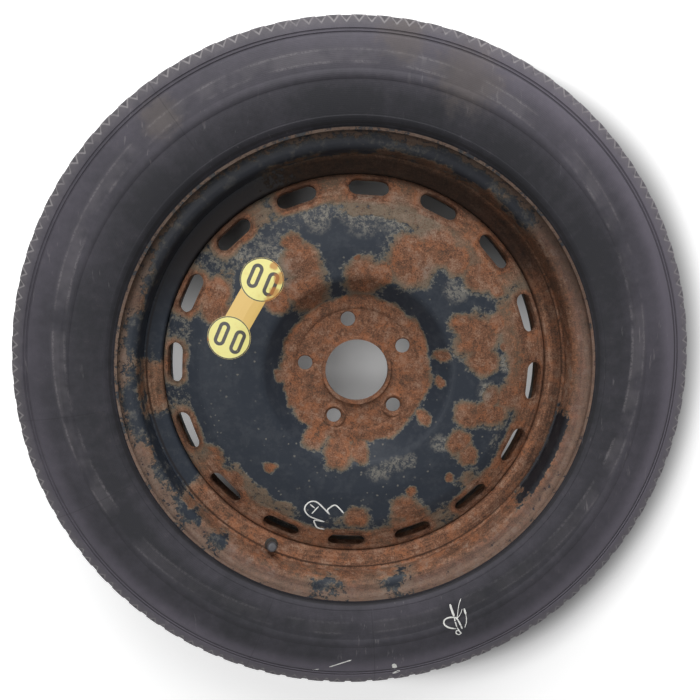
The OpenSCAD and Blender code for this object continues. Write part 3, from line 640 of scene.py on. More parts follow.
def tyre_rubber(tyre):
    """Old dark rubber: pale bloom with a painted sheen, scuff rings, scratches, dust, a painted highlight and
    shade at the notches, painted shade in the grooves and at the bead, and the mould's fine lines.
    """
    f = Finish("tyre rubber")
    turn, r, z = f.polar(f.mm)
    y = f.parts(f.mm)[1]
    broad = f.noise(85.0, 4.0, 0.6)
    small, grit = f.noise(11.0, 5.0, 0.68), f.noise(2.2, 4.0, 0.7)
    inner, outer_bloom = f.round_band(turn, INNER_BLOOM_AND_SHEEN), f.round_band(turn, OUTER_BLOOM)
    # Inside the bulge the bloom is also a painted sheen, lightest at the top; the next line paints the inner
    # sidewall lighter at the bottom as painted light
    bloom = inner * f.step(r, 258.0, 290.0) * 0.5 + f.step(r, 294.0, 314.0) * outer_bloom
    bloom = bloom + f.step(r, 262.0, 250.0) * f.step(y, -40.0, -180.0) * 0.2
    bloom = f.clamp(bloom + (broad - 0.5) * 0.7 + (small - 0.5) * 0.5 + 0.04)
    colour = f.mix(bloom, tuple(tyre.rubber), tuple(tyre.bloom))
    # Scuff rings, centred off the axis: a broad band with a thin ring on each side
    level_place = f.vector("MULTIPLY", f.mm, (1.0, 1.0, 0.0))
    away = f.vector("LENGTH", f.vector("SUBTRACT", level_place, SCUFF_MIDDLE))
    band = f.step(abs(away - SCUFF_BAND_R + (small - 0.5) * 6.0), 9.0, 4.0) * 0.5
    rings = f.math("MAXIMUM", f.line(away, SCUFF_INNER_R, 1.8, 0.4), f.line(away, SCUFF_OUTER_R, 1.5, 0.3))
    gaps = rings * f.step(grit, 0.35, 0.6) + band
    rings = gaps * f.step(f.noise(40.0, 3.0, 0.6, offset=(0.0, 0.0, 50.0)), 0.4, 0.62)
    rings = rings * (1.0 - f.step(y, -60.0, -200.0) * 0.6)
    colour = f.mix(rings * 0.4, colour, tuple(tyre.scuff))
    scratch = f.step(f.noise(5.0, 3.0, 0.6, at=f.vector("MULTIPLY", f.mm, (1.0, 0.16, 1.0))), 0.63, 0.7)
    colour = f.mix(scratch * f.step(broad, 0.5, 0.62) * 0.35, colour, tuple(tyre.scratch))
    # The shoulder is scuffed pale, and dust lies in dry patches and fine specks
    dirt = f.patches(f.vector("MULTIPLY", f.mm, (1.0, 1.0, 0.0)), DRY_DIRT)
    dirt = f.step(dirt + (small - 0.5) * 1.2, 0.0, 0.7) * 0.35
    shoulder = f.step(r + (small - 0.5) * 10.0, 318.0, 330.0)
    dirt = f.clamp(dirt + f.step(small * 0.5 + grit * 0.5, 0.56, 0.72) * 0.18)
    colour = f.mix(shoulder * 0.35, colour, tuple(tyre.shoulder))
    colour = f.mix(dirt, colour, tuple(tyre.dust))
    # Painted shade in the gap of the bead against the flange
    colour = f.mix(f.line(r, BEAD_GAP_R, 1.6, 0.5) * 0.55, colour, tuple(tyre.bead_gap_shade))
    # Zigzag round the shoulder, along the notches and between them: a painted highlight on the notches' edges
    # and painted shade in the notches
    outer = tyre.outside_r / MM
    tooth = abs(f.math("FRACT", turn * (2.0 * tyre.notch_count)) - 0.5) * 2.0
    past = r - (outer - 3.0 - tooth * (NOTCH_REACH - 3.0))
    visible = f.step(f.noise(16.0, 2.0, 0.6, offset=(0.0, 40.0, 0.0)), 0.36, 0.56) * 0.7 + 0.3
    notch_edge_highlight = f.step(abs(past + (grit - 0.5) * 2.0), 1.9, 0.5)
    notch_edge_highlight = notch_edge_highlight * f.step(r, outer - NOTCH_REACH - 2.0, outer - NOTCH_REACH) * visible
    notch_shade = f.step(past, 0.8, 3.0) * visible
    colour = f.mix(notch_shade * 0.4, colour, tuple(tyre.notch_shade))
    colour = f.mix(notch_edge_highlight * 0.6, colour, tuple(tyre.notch_edge_highlight))
    # Painted shade in the bottoms of the two fine grooves, weakest at the top
    fine = f.line(abs(r - FINE_GROOVES_R), FINE_HALF_GAP, 1.1, 0.4) * f.round_band(turn, GROOVE_SHADE_BY_ANGLE)
    colour = f.mix(fine, colour, tuple(tyre.groove_shade))
    # Mould lines across the sidewall
    degrees = turn * 360.0
    mould = 0.0
    for angle in MOULD_LINES_AT:
        mould = f.math("MAXIMUM", mould, f.line(degrees, angle, 0.16, 0.05))
    mould = mould * f.step(r, 244.0, 248.0)
    colour = f.mix(mould * 0.22, colour, tuple(tyre.mould_line))
    roughness = 0.62 + (small - 0.5) * 0.2 + dirt * 0.25
    height = grit * 0.35 + small * 0.4 - mould * 0.2
    # Fine rings cut by the mould's lathe
    height = height + f.math("SINE", r * (math.tau / 1.6)) * 0.05 * f.step(z, 40.0, 50.0)
    return f.surface(colour, roughness, f.bump(height, 0.00035), specular_ior_level=0.19)


def decal_print(decal):
    """Aged yellow film with two ringed discs, plain dark ovals in them, a stain and worn edges."""
    f = Finish("decal print")
    x, y, _ = f.parts(f.mm)
    flat = f.join(x, y, 0.0)
    small, fine = f.noise(6.0, 4.0, 0.6), f.noise(1.1, 3.0, 0.6)
    reach = [f.vector("DISTANCE", flat, (*end, 0.0)) for end in DECAL_ENDS]
    nearest = f.math("MINIMUM", reach[0], reach[1])
    between = f.step(nearest, DECAL_END_R - 0.6, DECAL_END_R + 0.4)
    colour = f.mix(between, tuple(decal.film), tuple(decal.waist))
    colour = f.mix(f.step(small, 0.5, 0.75) * 0.3, colour, tuple(decal.waist))
    rim = abs(nearest - (DECAL_END_R - DECAL_RING_IN))
    ink = f.step(rim + (fine - 0.5) * 0.3, 0.62, 0.4)
    c, s = math.cos(math.radians(OVAL_TURN)), math.sin(math.radians(OVAL_TURN))
    for cx, cy in DECAL_OVALS:
        dx, dy = x - cx, y - cy
        lengthways = f.math("MAXIMUM", abs(dx * c + dy * s) - (OVAL_HALF_LEN - OVAL_HALF_W), 0.0)
        crossways = dy * c - dx * s
        oval = abs(f.vector("LENGTH", f.join(lengthways, crossways, 0.0)) - (OVAL_HALF_W - OVAL_LINE))
        drawn = f.step(oval + (fine - 0.5) * 0.25, OVAL_LINE + 0.15, OVAL_LINE - 0.15)
        ink = f.math("MAXIMUM", ink, drawn)
    colour = f.mix(ink * (1.0 - f.step(fine * 0.5 + small * 0.5, 0.62, 0.7) * 0.7), colour, tuple(decal.ink))
    stained = f.step(f.patches(flat, DECAL_STAINS) + (small - 0.5) * 1.2, 0.0, 0.5) * 0.75
    colour = f.mix(stained, colour, tuple(decal.stain))
    colour = f.mix(f.step(fine, 0.66, 0.74) * 0.35, colour, tuple(decal.stain))
    return f.surface(colour, 0.42 + stained * 0.4, f.bump(small, 0.0001, 0.6), coat=0.15, coat_roughness=0.3)


def plain_finish(name, colour, roughness, metallic=0.0, grain=0.00002, size=1.0):
    """One colour with a faint mottle and a fine grain, for a small piece."""
    f = Finish(name)
    shade = f.noise(size * 3, 3.0)
    light = tuple(min(1.0, c * 1.25 + 0.01) for c in colour)
    colour = f.mix(f.step(shade, 0.35, 0.7), tuple(colour), light)
    rough = f.clamp(shade * 0.2 + (roughness - 0.1))
    return f.surface(colour, rough, f.bump(f.noise(size), grain), metallic=metallic)


def set_material(piece, material):
    """The only material of a piece or a CAD node."""
    piece.data.materials.clear()
    piece.data.materials.append(material)


def put_in_scene(name, mesh, material=None, sharp=None):
    """A new piece at the origin, smooth but for edges sharper than an angle."""
    piece = bpy.data.objects.new(name, mesh)
    bpy.context.scene.collection.objects.link(piece)
    if material is not None:
        set_material(piece, material)
    if sharp is not None:
        mesh.shade_smooth()
        mesh.set_sharp_from_angle(angle=math.radians(sharp))
    return piece


def mesh_of(name, points, faces=(), edges=()):
    mesh = bpy.data.meshes.new(name)
    mesh.from_pydata(points, edges, faces)
    mesh.update()
    return mesh


def face_outwards(mesh):
    work = bmesh.new()
    work.from_mesh(mesh)
    bmesh.ops.recalc_face_normals(work, faces=work.faces)
    work.to_mesh(mesh)
    work.free()


class RuledShape(NodeSheet):
    """A Geometry Nodes tree with named inputs, and the piece it makes."""

    def __init__(self, name, inputs):
        tree = bpy.data.node_groups.new(name, "GeometryNodeTree")
        super().__init__(tree)
        self.keys = {}
        tree.interface.new_socket(name="Geometry", in_out="OUTPUT", socket_type="NodeSocketGeometry")
        tree.interface.new_socket(name="Geometry", in_out="INPUT", socket_type="NodeSocketGeometry")
        for label, kind in inputs.items():
            made = tree.interface.new_socket(name=label, in_out="INPUT", socket_type=kind)
            self.keys[label] = made.identifier
        self.entry = self.node("NodeGroupInput")

    def given(self, label):
        return Value(self, self.entry.outputs[label])

    def close(self, geometry):
        whole = self.node("GeometryNodeRealizeInstances", None, {0: geometry})
        painted = self.node("GeometryNodeSetMaterial", None,
                            {"Geometry": whole.outputs[0], "Material": self.given("Material")})
        self.node("NodeGroupOutput", None, {0: painted.outputs[0]})

    def make(self, name, start_mesh, values):
        """Plain mesh of the tree's result on that starting mesh."""
        source = bpy.data.objects.new(name + "_rule", start_mesh)
        bpy.context.scene.collection.objects.link(source)
        modifier = source.modifiers.new("Rule", "NODES")
        modifier.node_group = self.tree
        for label, given in values.items():
            modifier[self.keys[label]] = given
        ready = source.evaluated_get(bpy.context.evaluated_depsgraph_get())
        mesh = bpy.data.meshes.new_from_object(ready)
        mesh.name = name
        source.modifiers.remove(modifier)
        bpy.data.objects.remove(source)
        if not mesh.polygons:
            raise RuntimeError(f"the rule for {name} made nothing")
        face_outwards(mesh)
        return mesh


def tyre_outline(tyre):
    """Rubber's outline as (radius, height), from the tread's middle to the liner's, and the notches' places."""
    outer, half = tyre.outside_r / MM, tyre.half_width / MM + WALL_LIFT
    depth, rib = tyre.groove_depth / MM, tyre.rib_h / MM
    shoulder, edge = outer - SHOULDER_IN, outer - TREAD_DROP
    bead_out = FLANGE_R + BEAD_OUT
    bead_top = bead_out + BEAD_TOP_OUT
    # The sidewall and the tread are arcs
    mid = shoulder - BULGE_PLACE * (shoulder - bead_top)
    bulge = ((shoulder - mid) ** 2 + WALL_DROP**2) / (2 * WALL_DROP)
    mid_z = half - rib - bulge
    crown = (TREAD_HALF_W**2 + TREAD_DROP**2) / (2 * TREAD_DROP)
    liner = outer - TREAD_T

    def tread(z):
        return (outer - crown + math.sqrt(crown**2 - z * z), z)

    def wall(r, inside=0.0):
        return mid_z + math.sqrt((bulge - inside) ** 2 - (r - mid) ** 2)

    def run(start, end, steps):
        return [(start + (end - start) * i / steps, 0.0) for i in range(steps + 1)]

    def relief(place, width, height):
        """A rib, or a groove where the height is negative, with sloping sides."""
        side = abs(height)
        return [(place + width / 2 + side, 0.0), (place + width / 2, height), (place - width / 2, height),
                (place - width / 2 - side, 0.0)]

    floor, side_floor = outer - depth, outer - depth - SIDE_GROOVE_SINK
    points = [(floor, 0.0), (floor, GROOVE_FLOOR), tread(GROOVE_TOP), tread(GROOVE_PLACE / 2),
              tread(GROOVE_PLACE - GROOVE_TOP), (side_floor, GROOVE_PLACE - GROOVE_FLOOR),
              (side_floor, GROOVE_PLACE + GROOVE_FLOOR), tread(GROOVE_PLACE + GROOVE_TOP), tread(29), tread(38),
              tread(TREAD_HALF_W)]
    # Round the shoulder
    points += [(edge - 0.7, TREAD_HALF_W + 1.7), (shoulder + 1.6, (TREAD_HALF_W + wall(shoulder)) / 2 + 1.2)]
    # Down the sidewall, with the pair of fine grooves and the two ribs standing from its arc
    pair = shoulder - FINE_PLACE * (shoulder - bead_top)
    stations = run(shoulder, pair + 4, 4)
    for place in (pair + FINE_HALF_GAP, pair - FINE_HALF_GAP):
        stations += relief(place, FINE_W, -FINE_DEPTH)
    stations += run(pair - 5, mid + 5, 4) + relief(mid, BULGE_RIB_W, rib) + run(mid - 5, bead_top + 5.8, 4)
    stations += relief(bead_top + BEAD_RIB_OUT, BEAD_RIB_W, rib) + [(bead_top, 0.0)]
    points += [(r, wall(r) + h) for r, h in stations]
    # Round the bead: outside the flange, along the seat to the toe and back up inside
    points += [(bead_out, wall(bead_out) - 2.4), (FLANGE_R + 0.9, RIM_HALF_W + 4.6)]
    points += [(FLANGE_R - 4.2, RIM_HALF_W - 0.1), (SEAT_R + 5.2, RIM_HALF_W - 0.1)]
    points += [(SEAT_R + 1.2, RIM_HALF_W - 3.6), (SEAT_R + 0.1, RIM_HALF_W - 6)]
    points += [(SEAT_R - 0.7, RIM_HALF_W - 14), (SEAT_R + 2.6, RIM_HALF_W - 17.4)]
    points += [(SEAT_R + 14, RIM_HALF_W - 10.5)]
    # Up the liner to the middle of the tread
    points += [(r, wall(r, SIDEWALL_T)) for r in (SEAT_R + 24, mid - 12, mid + 14, liner - 18)]
    high = wall(liner - 18, SIDEWALL_T)
    points += [(liner - 7, high - 5.4), (liner - 2.2, high - 14), (liner, 22.0)]
    lower = [(r, -z) for r, z in reversed(points) if z > 0]
    end = outer - NOTCH_REACH
    return points + lower, {"Edge radius": edge, "Edge height": TREAD_HALF_W, "End radius": end,
                            "End height": wall(end)}


def notched_round(name):
    """Rule for a tyre: its outline is swept round the axis, and points at both shoulders shift into wedges."""
    t = RuledShape(name, {"Outline points": "NodeSocketInt", "Notches": "NodeSocketInt",
                          "Notch width": "NodeSocketFloat", "Notch depth": "NodeSocketFloat",
                          "Edge radius": "NodeSocketFloat", "Edge height": "NodeSocketFloat",
                          "End radius": "NodeSocketFloat", "End height": "NodeSocketFloat",
                          "Material": "NodeSocketMaterial"})
    rows, notches = t.given("Outline points"), t.given("Notches")
    edge_r, edge_z = t.given("Edge radius"), t.given("Edge height")
    end_r, end_z = t.given("End radius"), t.given("End height")
    # A grid of one column for each step round the axis and one row for each point of the outline
    per_notch = float(COLUMNS_PER_NOTCH)
    columns = notches * per_notch
    grid = t.node("GeometryNodeMeshGrid", None, {"Size X": columns, "Size Y": rows * 1.0,
                                                 "Vertices X": columns + 1.0, "Vertices Y": rows + 1.0})
    across, up, _ = t.parts(t.node("GeometryNodeInputPosition").outputs[0])
    column = t.math("ROUND", across + columns / 2.0)
    row = t.math("FLOORED_MODULO", t.math("ROUND", up + rows / 2.0), rows)
    taken = t.node("GeometryNodeSampleIndex", {"data_type": "FLOAT_VECTOR", "domain": "POINT"},
                   {"Geometry": t.entry.outputs["Geometry"],
                    "Value": t.node("GeometryNodeInputPosition").outputs[0], "Index": row})
    r, _, z = t.parts(taken.outputs[0])
    # The notches of the lower shoulder stand between those of the upper one
    low_side = z < 0.0
    shift = low_side * (per_notch / 2)
    zone = (r > end_r - 1e-5) * (abs(z) > edge_z - 1e-4)
    place = (column - shift) / per_notch
    notch = t.math("FLOOR", place + 0.5)
    within = (place - notch) * per_notch
    off = abs(within)
    # In the notches' zone the columns draw in to each notch's sides, and elsewhere they stay even
    half_pitch = math.pi / notches
    share = (edge_r - r) / (edge_r - end_r)
    half_w = (t.given("Notch width") / 2.0 * (1.0 - share) + NOTCH_END_HALF_W * MM * share) / r
    near = (t.clamp(off) * 0.93 + t.clamp(off - 1.0) * 0.07) * half_w
    bent = near + t.clamp(off - 2.0, 0.0, 2.0) / 2.0 * (half_pitch - half_w)
    even = off / (per_notch / 2) * half_pitch
    side = t.math("SIGN", within)
    angle = (notch + shift / per_notch) * half_pitch * 2.0 + side * (even + (bent - even) * zone)
    # The floor of a notch is a straight line in the outline's plane
    floor_r = edge_r - t.given("Notch depth")
    run_r, run_z = end_r - floor_r, end_z - edge_z
    length = t.math("SQRT", run_r * run_r + run_z * run_z)
    out_r, out_z = run_z / length, -run_r / length
    above = (r - floor_r) * out_r + (abs(z) - edge_z) * out_z
    sunk = t.math("MAXIMUM", above, 0.0) * (off < 1.5) * zone
    new_r = r - out_r * sunk
    new_z = z - out_z * sunk * t.math("SIGN", z)
    spot = t.join(new_r * t.math("COSINE", angle), new_r * t.math("SINE", angle), new_z)
    placed = t.node("GeometryNodeSetPosition", None, {"Geometry": grid.outputs["Mesh"], "Position": spot})
    joined = t.node("GeometryNodeMergeByDistance", None,
                    {"Geometry": placed.outputs[0], "Distance": MERGE * MM})
    t.close(joined.outputs[0])
    return t


class SPAREWHEEL_OT_tyre(bpy.types.Operator):
    """Make the tyre from its outline and notch rule, with its rubber"""

    bl_idname = "sparewheel.tyre"
    bl_label = "Tyre"

    def execute(self, context):
        tyre = context.scene.spare_tyre
        outline, places = tyre_outline(tyre)
        rubber = tyre_rubber(tyre)
        start = mesh_of("tyre_outline", [(r * MM, 0.0, z * MM) for r, z in outline])
        given = {label: place * MM for label, place in places.items()}
        given.update({"Outline points": len(outline), "Notches": tyre.notch_count, "Notch width": tyre.notch_w,
                      "Notch depth": tyre.notch_sink, "Material": rubber})
        mesh = notched_round("Notched round").make("tyre_body", start, given)
        piece = put_in_scene("tyre_body", mesh, sharp=50)
        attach(piece, "wheel")
        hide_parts("tyre")
        return {"FINISHED"}


class SPAREWHEEL_OT_rim(bpy.types.Operator):
    """Paint and rust the rim"""

    bl_idname = "sparewheel.rim"
    bl_label = "Rim"

    def execute(self, context):
        steel = context.scene.spare_steel
        set_material(NODES["rim"], rusted_paint("rim paint and rust", steel, rim_wear))
        return {"FINISHED"}


class SPAREWHEEL_OT_disc(bpy.types.Operator):
    """Paint and rust the pressed disc"""

    bl_idname = "sparewheel.disc"
    bl_label = "Wheel disc"

    def execute(self, context):
        steel = context.scene.spare_steel
        set_material(NODES["wheel_disc"], rusted_paint("disc paint and rust", steel, disc_wear))
        return {"FINISHED"}


class SPAREWHEEL_OT_welds(bpy.types.Operator):
    """Rust the welds and lay the ripples of the weld pool along them"""

    bl_idname = "sparewheel.welds"
    bl_label = "Welds"

    def execute(self, context):
        steel = context.scene.spare_steel
        scaled = plain_finish("rusted weld", steel.old_rust, 0.8, grain=0.0002, size=0.8)
        set_material(NODES["weld_seams"], scaled)
        t = RuledShape("Weld ripples", {"Ripple step": "NodeSocketFloat", "Ripple size": "NodeSocketFloat",
                                        "Material": "NodeSocketMaterial"})
        path = t.node("GeometryNodeMeshToCurve", None, {0: t.entry.outputs["Geometry"]})
        spots = t.node("GeometryNodeCurveToPoints", {"mode": "LENGTH"},
                       {"Curve": path.outputs[0], "Length": t.given("Ripple step")})
        bead = t.node("GeometryNodeMeshUVSphere", None,
                      {"Segments": 10, "Rings": 6, "Radius": t.given("Ripple size")})
        along = t.node("FunctionNodeAlignRotationToVector", {"axis": "X"}, {"Vector": spots.outputs["Tangent"]})
        size = t.join(RIPPLE_FLATNESS, 1.0, 1.0)
        laid = t.node("GeometryNodeInstanceOnPoints", None,
                      {"Points": spots.outputs["Points"], "Instance": bead.outputs["Mesh"],
                       "Rotation": along.outputs[0], "Scale": size})
        t.close(laid.outputs[0])
        points, edges = [], []
        for weld in range(WELDS):
            for k in range(WELD_STEPS + 1):
                along = 2 * WELD_HALF_TURN * k / WELD_STEPS - WELD_HALF_TURN
                a = math.radians(FIRST_WELD_AT + 360 / WELDS * weld + along)
                if k:
                    edges.append((len(points) - 1, len(points)))
                points.append((WELD_R * MM * math.cos(a), WELD_R * MM * math.sin(a), WELD_Z * MM))
        start = mesh_of("weld_lines", points, edges=edges)
        mesh = t.make("weld_ripples", start, {"Ripple step": steel.ripple_step, "Ripple size": RIPPLE_R * MM,
                                              "Material": scaled})
        piece = put_in_scene("weld_ripples", mesh, sharp=80)
        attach(piece, "wheel")
        return {"FINISHED"}


class SPAREWHEEL_OT_valve(bpy.types.Operator):
    """Finish the valve's rubber, brass, washers and cap"""

    bl_idname = "sparewheel.valve"
    bl_label = "Valve"

    def execute(self, context):
        v = context.scene.spare_valve
        brass = plain_finish("tarnished brass", v.brass, 0.35, metallic=1.0, size=0.5)
        seal = plain_finish("seal rubber", v.seal, 0.6, size=0.4)
        finishes = {
            "valve_body": plain_finish("valve rubber", v.rubber, 0.55, grain=0.00004, size=0.9),
            "valve_stem": brass,
            "valve_core": brass,
            "core_pin": brass,
            "core_gasket": plain_finish("gasket rubber", v.gasket, 0.5, size=0.4),
            "core_seal": seal,
            "cap_seal": seal,
            "valve_cap": plain_finish("cap plastic", v.cap, 0.5, grain=0.00003, size=0.8),
        }
        for name, finish in finishes.items():
            set_material(NODES[name], finish)
        return {"FINISHED"}


class SPAREWHEEL_OT_spring(bpy.types.Operator):
    """Wind the core's spring"""

    bl_idname = "sparewheel.spring"
    bl_label = "Core spring"

    def execute(self, context):
        v = context.scene.spare_valve
        # The CAD's spring gives the length, and the cap's hinge the valve's axis
        joints = {joint["name"]: joint for joint in frame["joints"]}
        axis, on_axis = Vector(joints["cap_turn"]["axis"]).normalized(), Vector(joints["cap_turn"]["pos_m"])
        heights = [(vertex.co - on_axis).dot(axis) for vertex in NODES["core_spring"].data.vertices]
        foot, length = on_axis + axis * min(heights), max(heights) - min(heights)
        t = RuledShape("Wound wire", {"Turns": "NodeSocketFloat", "Coil radius": "NodeSocketFloat",
                                      "Wire radius": "NodeSocketFloat", "Rise": "NodeSocketFloat",
                                      "Material": "NodeSocketMaterial"})
        coil = t.node("GeometryNodeCurveSpiral", None,
                      {"Resolution": STEPS_PER_TURN, "Rotations": t.given("Turns"),
                       "Start Radius": t.given("Coil radius"), "End Radius": t.given("Coil radius"),
                       "Height": t.given("Rise")})
        wire = t.node("GeometryNodeCurvePrimitiveCircle", None,
                      {"Resolution": WIRE_SIDES, "Radius": t.given("Wire radius")})
        wound = t.node("GeometryNodeCurveToMesh", None,
                       {"Curve": coil.outputs[0], "Profile Curve": wire.outputs[0], "Fill Caps": True})
        t.close(wound.outputs[0])
        mesh = t.make("valve_spring", mesh_of("spring_start", [(0.0, 0.0, 0.0)]), {
            "Turns": v.spring_turns, "Coil radius": v.coil_r, "Wire radius": v.wire_r,
            "Rise": length - 2 * v.wire_r,
            "Material": plain_finish("spring wire", v.spring, 0.28, metallic=1.0, size=0.4)})
        turned = axis.to_track_quat("Z", "X").to_matrix().to_4x4()
        mesh.transform(Matrix.Translation(foot + axis * v.wire_r) @ turned)
        piece = put_in_scene("valve_spring", mesh, sharp=60)
        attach(piece, "wheel")
        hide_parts("core_spring")
        travel = max(abs(limit) for limit in joints["pin_push"]["range_m"])
        1.0 - travel / length
        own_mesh(piece)
        return {"FINISHED"}


class SPAREWHEEL_OT_decal(bpy.types.Operator):
    """Print the decal on its film"""

    bl_idname = "sparewheel.decal"
    bl_label = "Decal"

    def execute(self, context):
        set_material(NODES["decal"], decal_print(context.scene.spare_decal))
        return {"FINISHED"}


def surface_under(node):
    """What a stroke is laid on: a node's faces, ready for rays."""
    mesh = node.data
    return BVHTree.FromPolygons([v.co for v in mesh.vertices], [p.vertices for p in mesh.polygons])


def smooth_line(points, step):
    """Points along a smooth curve through the given ones."""
    line = []
    padded = [points[0]] + list(points) + [points[-1]]
    for i in range(1, len(padded) - 2):
        a, b, c, d = (Vector(padded[i + k]) for k in (-1, 0, 1, 2))
        steps = max(2, int((c - b).length / step))
        for k in range(steps):
            t = k / steps
            line.append(0.5 * ((2 * b) + (c - a) * t + (2 * a - 5 * b + 4 * c - d) * t * t
                               + (3 * b - a - 3 * c + d) * t**3))
    line.append(Vector(points[-1]))
    return line


def brushed_strokes(name, strokes, tree, material):
    """Thin closed ribbons laid on the surface below them, with six corners to each cross-section."""
    points, faces = [], []
    corners = [(-1, 0.0), (-0.55, STROKE_T), (0.55, STROKE_T), (1, 0.0), (0.55, -STROKE_T), (-0.55, -STROKE_T)]
    n = len(corners)
    for half_w, given in strokes:
        line = smooth_line(given, STROKE_STEP)
        first = len(points)
        for i, p in enumerate(line):
            ahead = (line[min(i + 1, len(line) - 1)] - line[max(i - 1, 0)]).normalized()
            aside = Vector((-ahead.y, ahead.x))
            taper = min(1.0, 0.45 + 0.55 * min(i, len(line) - 1 - i) / 2)
            for place, height in corners:
                spot = (p + aside * half_w * place * taper) * MM
                hit, normal, _, _ = tree.ray_cast(Vector((spot.x, spot.y, ABOVE_ALL)), Vector((0, 0, -1)))
                if hit is None:
                    raise RuntimeError(f"a stroke of {name} runs off the piece below it")
                points.append(hit + normal * (STROKE_LIFT + height) * MM)
        for i in range(len(line) - 1):
            a, b = first + n * i, first + n * (i + 1)
            faces += [(a + k, b + k, b + (k + 1) % n, a + (k + 1) % n) for k in range(n)]
        last = first + n * (len(line) - 1)
        faces += [tuple(first + k for k in range(n)), tuple(last + k for k in reversed(range(n)))]
    mesh = mesh_of(name, points, faces)
    face_outwards(mesh)
    return put_in_scene(name, mesh, material, sharp=60)


class SPAREWHEEL_OT_pen_marks(bpy.types.Operator):
    """Draw the pen squiggle on the disc and the paint marks on the tyre"""

    bl_idname = "sparewheel.pen_marks"
    bl_label = "Pen marks"

    def execute(self, context):
        pen = context.scene.spare_decal.pen
        marks = {"pen_squiggle": (DISC_STROKES, "wheel_disc"), "paint_marks": (TYRE_STROKES, "tyre")}
        for name, (strokes, node) in marks.items():
            material = plain_finish(name.replace("_", " "), pen, 0.6, size=1.5)
            piece = brushed_strokes(name, strokes, surface_under(NODES[node]), material)
            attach(piece, "wheel")
        return {"FINISHED"}


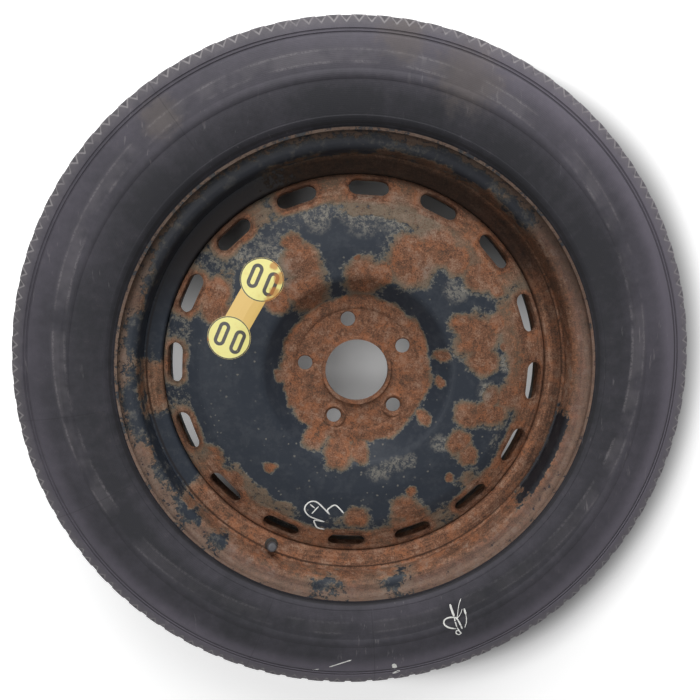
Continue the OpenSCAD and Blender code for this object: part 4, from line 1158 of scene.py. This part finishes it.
class SPAREWHEEL_OT_stage(bpy.types.Operator):
    """Lay the pale floor, hang the soft lamps and set the camera"""

    bl_idname = "sparewheel.stage"
    bl_label = "Stage"

    def execute(self, context):
        s = context.scene.spare_stage
        self.lay_floor(s)
        self.light_room(context, s)
        self.hang_lamps(context, s)
        self.set_camera(context, s)
        context.scene.view_settings.view_transform = "Standard"
        return {"FINISHED"}

    def lay_floor(self, s):
        half, low = FLOOR_HALF * MM, TYRE_LOW.z
        corners = [(-half, -half, low), (half, -half, low), (half, half, low), (-half, half, low)]
        floor = put_in_scene("floor", mesh_of("floor", corners, [(0, 1, 2, 3)]))
        f = Finish("floor")
        shows = f.seen()
        _, r, _ = f.polar(f.mm)
        x, y, _ = f.parts(f.mm)
        # Close shade beside the tyre, widest and darkest at the right
        away = f.vector("DISTANCE", f.join(x, y, 0.0), SHADE_MIDDLE)
        right = f.step(x - y * 0.15, -60.0, 340.0)
        shade = (1.0 - f.step(away, 380.0, right * right * 26.0 + 396.0)) * (right * 0.75 + 0.04)
        colour = f.mix(shade, tuple(s.floor), tuple(s.floor_shade))
        lit = f.node("ShaderNodeBsdfDiffuse", None, {"Color": colour})
        # The floor glows a little under the hub and the side vents as painted light, and it is white away from
        # the tyre
        inside = f.step(abs(y), 150.0, 50.0) * 0.11
        inside = inside + f.step(abs(x), 125.0, 185.0) * f.step(abs(y + 40.0), 140.0, 50.0) * 0.2
        inside = inside * f.step(r, 245.0, 228.0)
        around = f.step(away, right * 58.0 + 340.0, right * 70.0 + 380.0) * 0.4
        brighter = f.mix(shows * (around + inside), (0.0, 0.0, 0.0), (1.0, 1.0, 1.0))
        glow = f.node("ShaderNodeEmission", None, {"Color": brighter, "Strength": 1.0})
        both = f.node("ShaderNodeAddShader", None, {0: lit.outputs[0], 1: glow.outputs[0]})
        f.node("ShaderNodeOutputMaterial", None, {"Surface": both.outputs[0]})
        set_material(floor, f.material)

    def light_room(self, context, s):
        """A white backdrop, which lights the wheel only a little."""
        world = bpy.data.worlds.new("studio")
        world.use_nodes = True
        sheet = NodeSheet(world.node_tree)
        sheet.tree.nodes.clear()
        strength = sheet.seen() * (1.0 - s.sky) + s.sky
        even = sheet.node("ShaderNodeBackground", None, {"Color": (1.0, 1.0, 1.0), "Strength": strength})
        sheet.node("ShaderNodeOutputWorld", None, {"Surface": even.outputs[0]})
        context.scene.world = world

    def hang_lamps(self, context, s):
        lamps = {"key": (KEY_AT, KEY_SIZE, s.key_power), "side": (SIDE_AT, SIDE_SIZE, s.side_power)}
        for name, (place, size, power) in lamps.items():
            lamp = bpy.data.lights.new(name, "AREA")
            lamp.size, lamp.energy = size, power
            hung = bpy.data.objects.new(name, lamp)
            hung.location = place
            hung.rotation_euler = (-Vector(place)).to_track_quat("-Z", "Y").to_euler()
            context.scene.collection.objects.link(hung)

    def set_camera(self, context, s):
        """Look at the wheel's centre, with +Y upwards in the picture."""
        lean = math.sin(s.tilt)
        away = Vector((lean * math.cos(s.lean_towards), lean * math.sin(s.lean_towards), math.cos(s.tilt)))
        right = (-away).cross(Vector((0, 1, 0))).normalized()
        up = right.cross(-away)
        lens = bpy.data.cameras.new("camera")
        lens.lens, lens.sensor_width = s.lens, SENSOR_W
        lens.shift_x, lens.shift_y = (shift / PICTURE_W for shift in SHIFT_PIXELS)
        lens.clip_start, lens.clip_end = NEAREST, FARTHEST
        camera = bpy.data.objects.new("camera", lens)
        context.scene.collection.objects.link(camera)
        turned = Matrix([[right[i], up[i], away[i]] for i in range(3)]).to_4x4()
        camera.matrix_world = Matrix.Translation(away * s.distance) @ turned
        context.scene.camera = camera


OPERATORS = [SPAREWHEEL_OT_tyre, SPAREWHEEL_OT_rim, SPAREWHEEL_OT_disc, SPAREWHEEL_OT_welds,
             SPAREWHEEL_OT_valve, SPAREWHEEL_OT_spring, SPAREWHEEL_OT_decal, SPAREWHEEL_OT_pen_marks,
             SPAREWHEEL_OT_stage]


class SPAREWHEEL_PT_panel(bpy.types.Panel):
    """Settings and pieces of the spare wheel"""

    bl_idname = "SPAREWHEEL_PT_panel"
    bl_label = "Spare wheel"
    bl_space_type = "VIEW_3D"
    bl_region_type = "UI"
    bl_category = "Spare wheel"

    def draw(self, context):
        for key, group in SETTINGS.items():
            box = self.layout.box()
            for name in group.__annotations__:
                box.prop(getattr(context.scene, key), name)
        for operator in OPERATORS:
            self.layout.operator(operator.bl_idname)


def register():
    for group in SETTINGS.values():
        bpy.utils.register_class(group)
    for key, group in SETTINGS.items():
        setattr(bpy.types.Scene, key, bpy.props.PointerProperty(type=group))
    for cls in OPERATORS + [SPAREWHEEL_PT_panel]:
        bpy.utils.register_class(cls)


def unregister():
    for cls in reversed(OPERATORS + [SPAREWHEEL_PT_panel]):
        bpy.utils.unregister_class(cls)
    for key, group in SETTINGS.items():
        delattr(bpy.types.Scene, key)
        bpy.utils.unregister_class(group)


def main():
    register()
    for step in ("tyre", "rim", "disc", "welds", "valve", "spring", "decal", "pen_marks", "stage"):
        getattr(bpy.ops.sparewheel, step)()


if __name__ == "__main__":
    main()
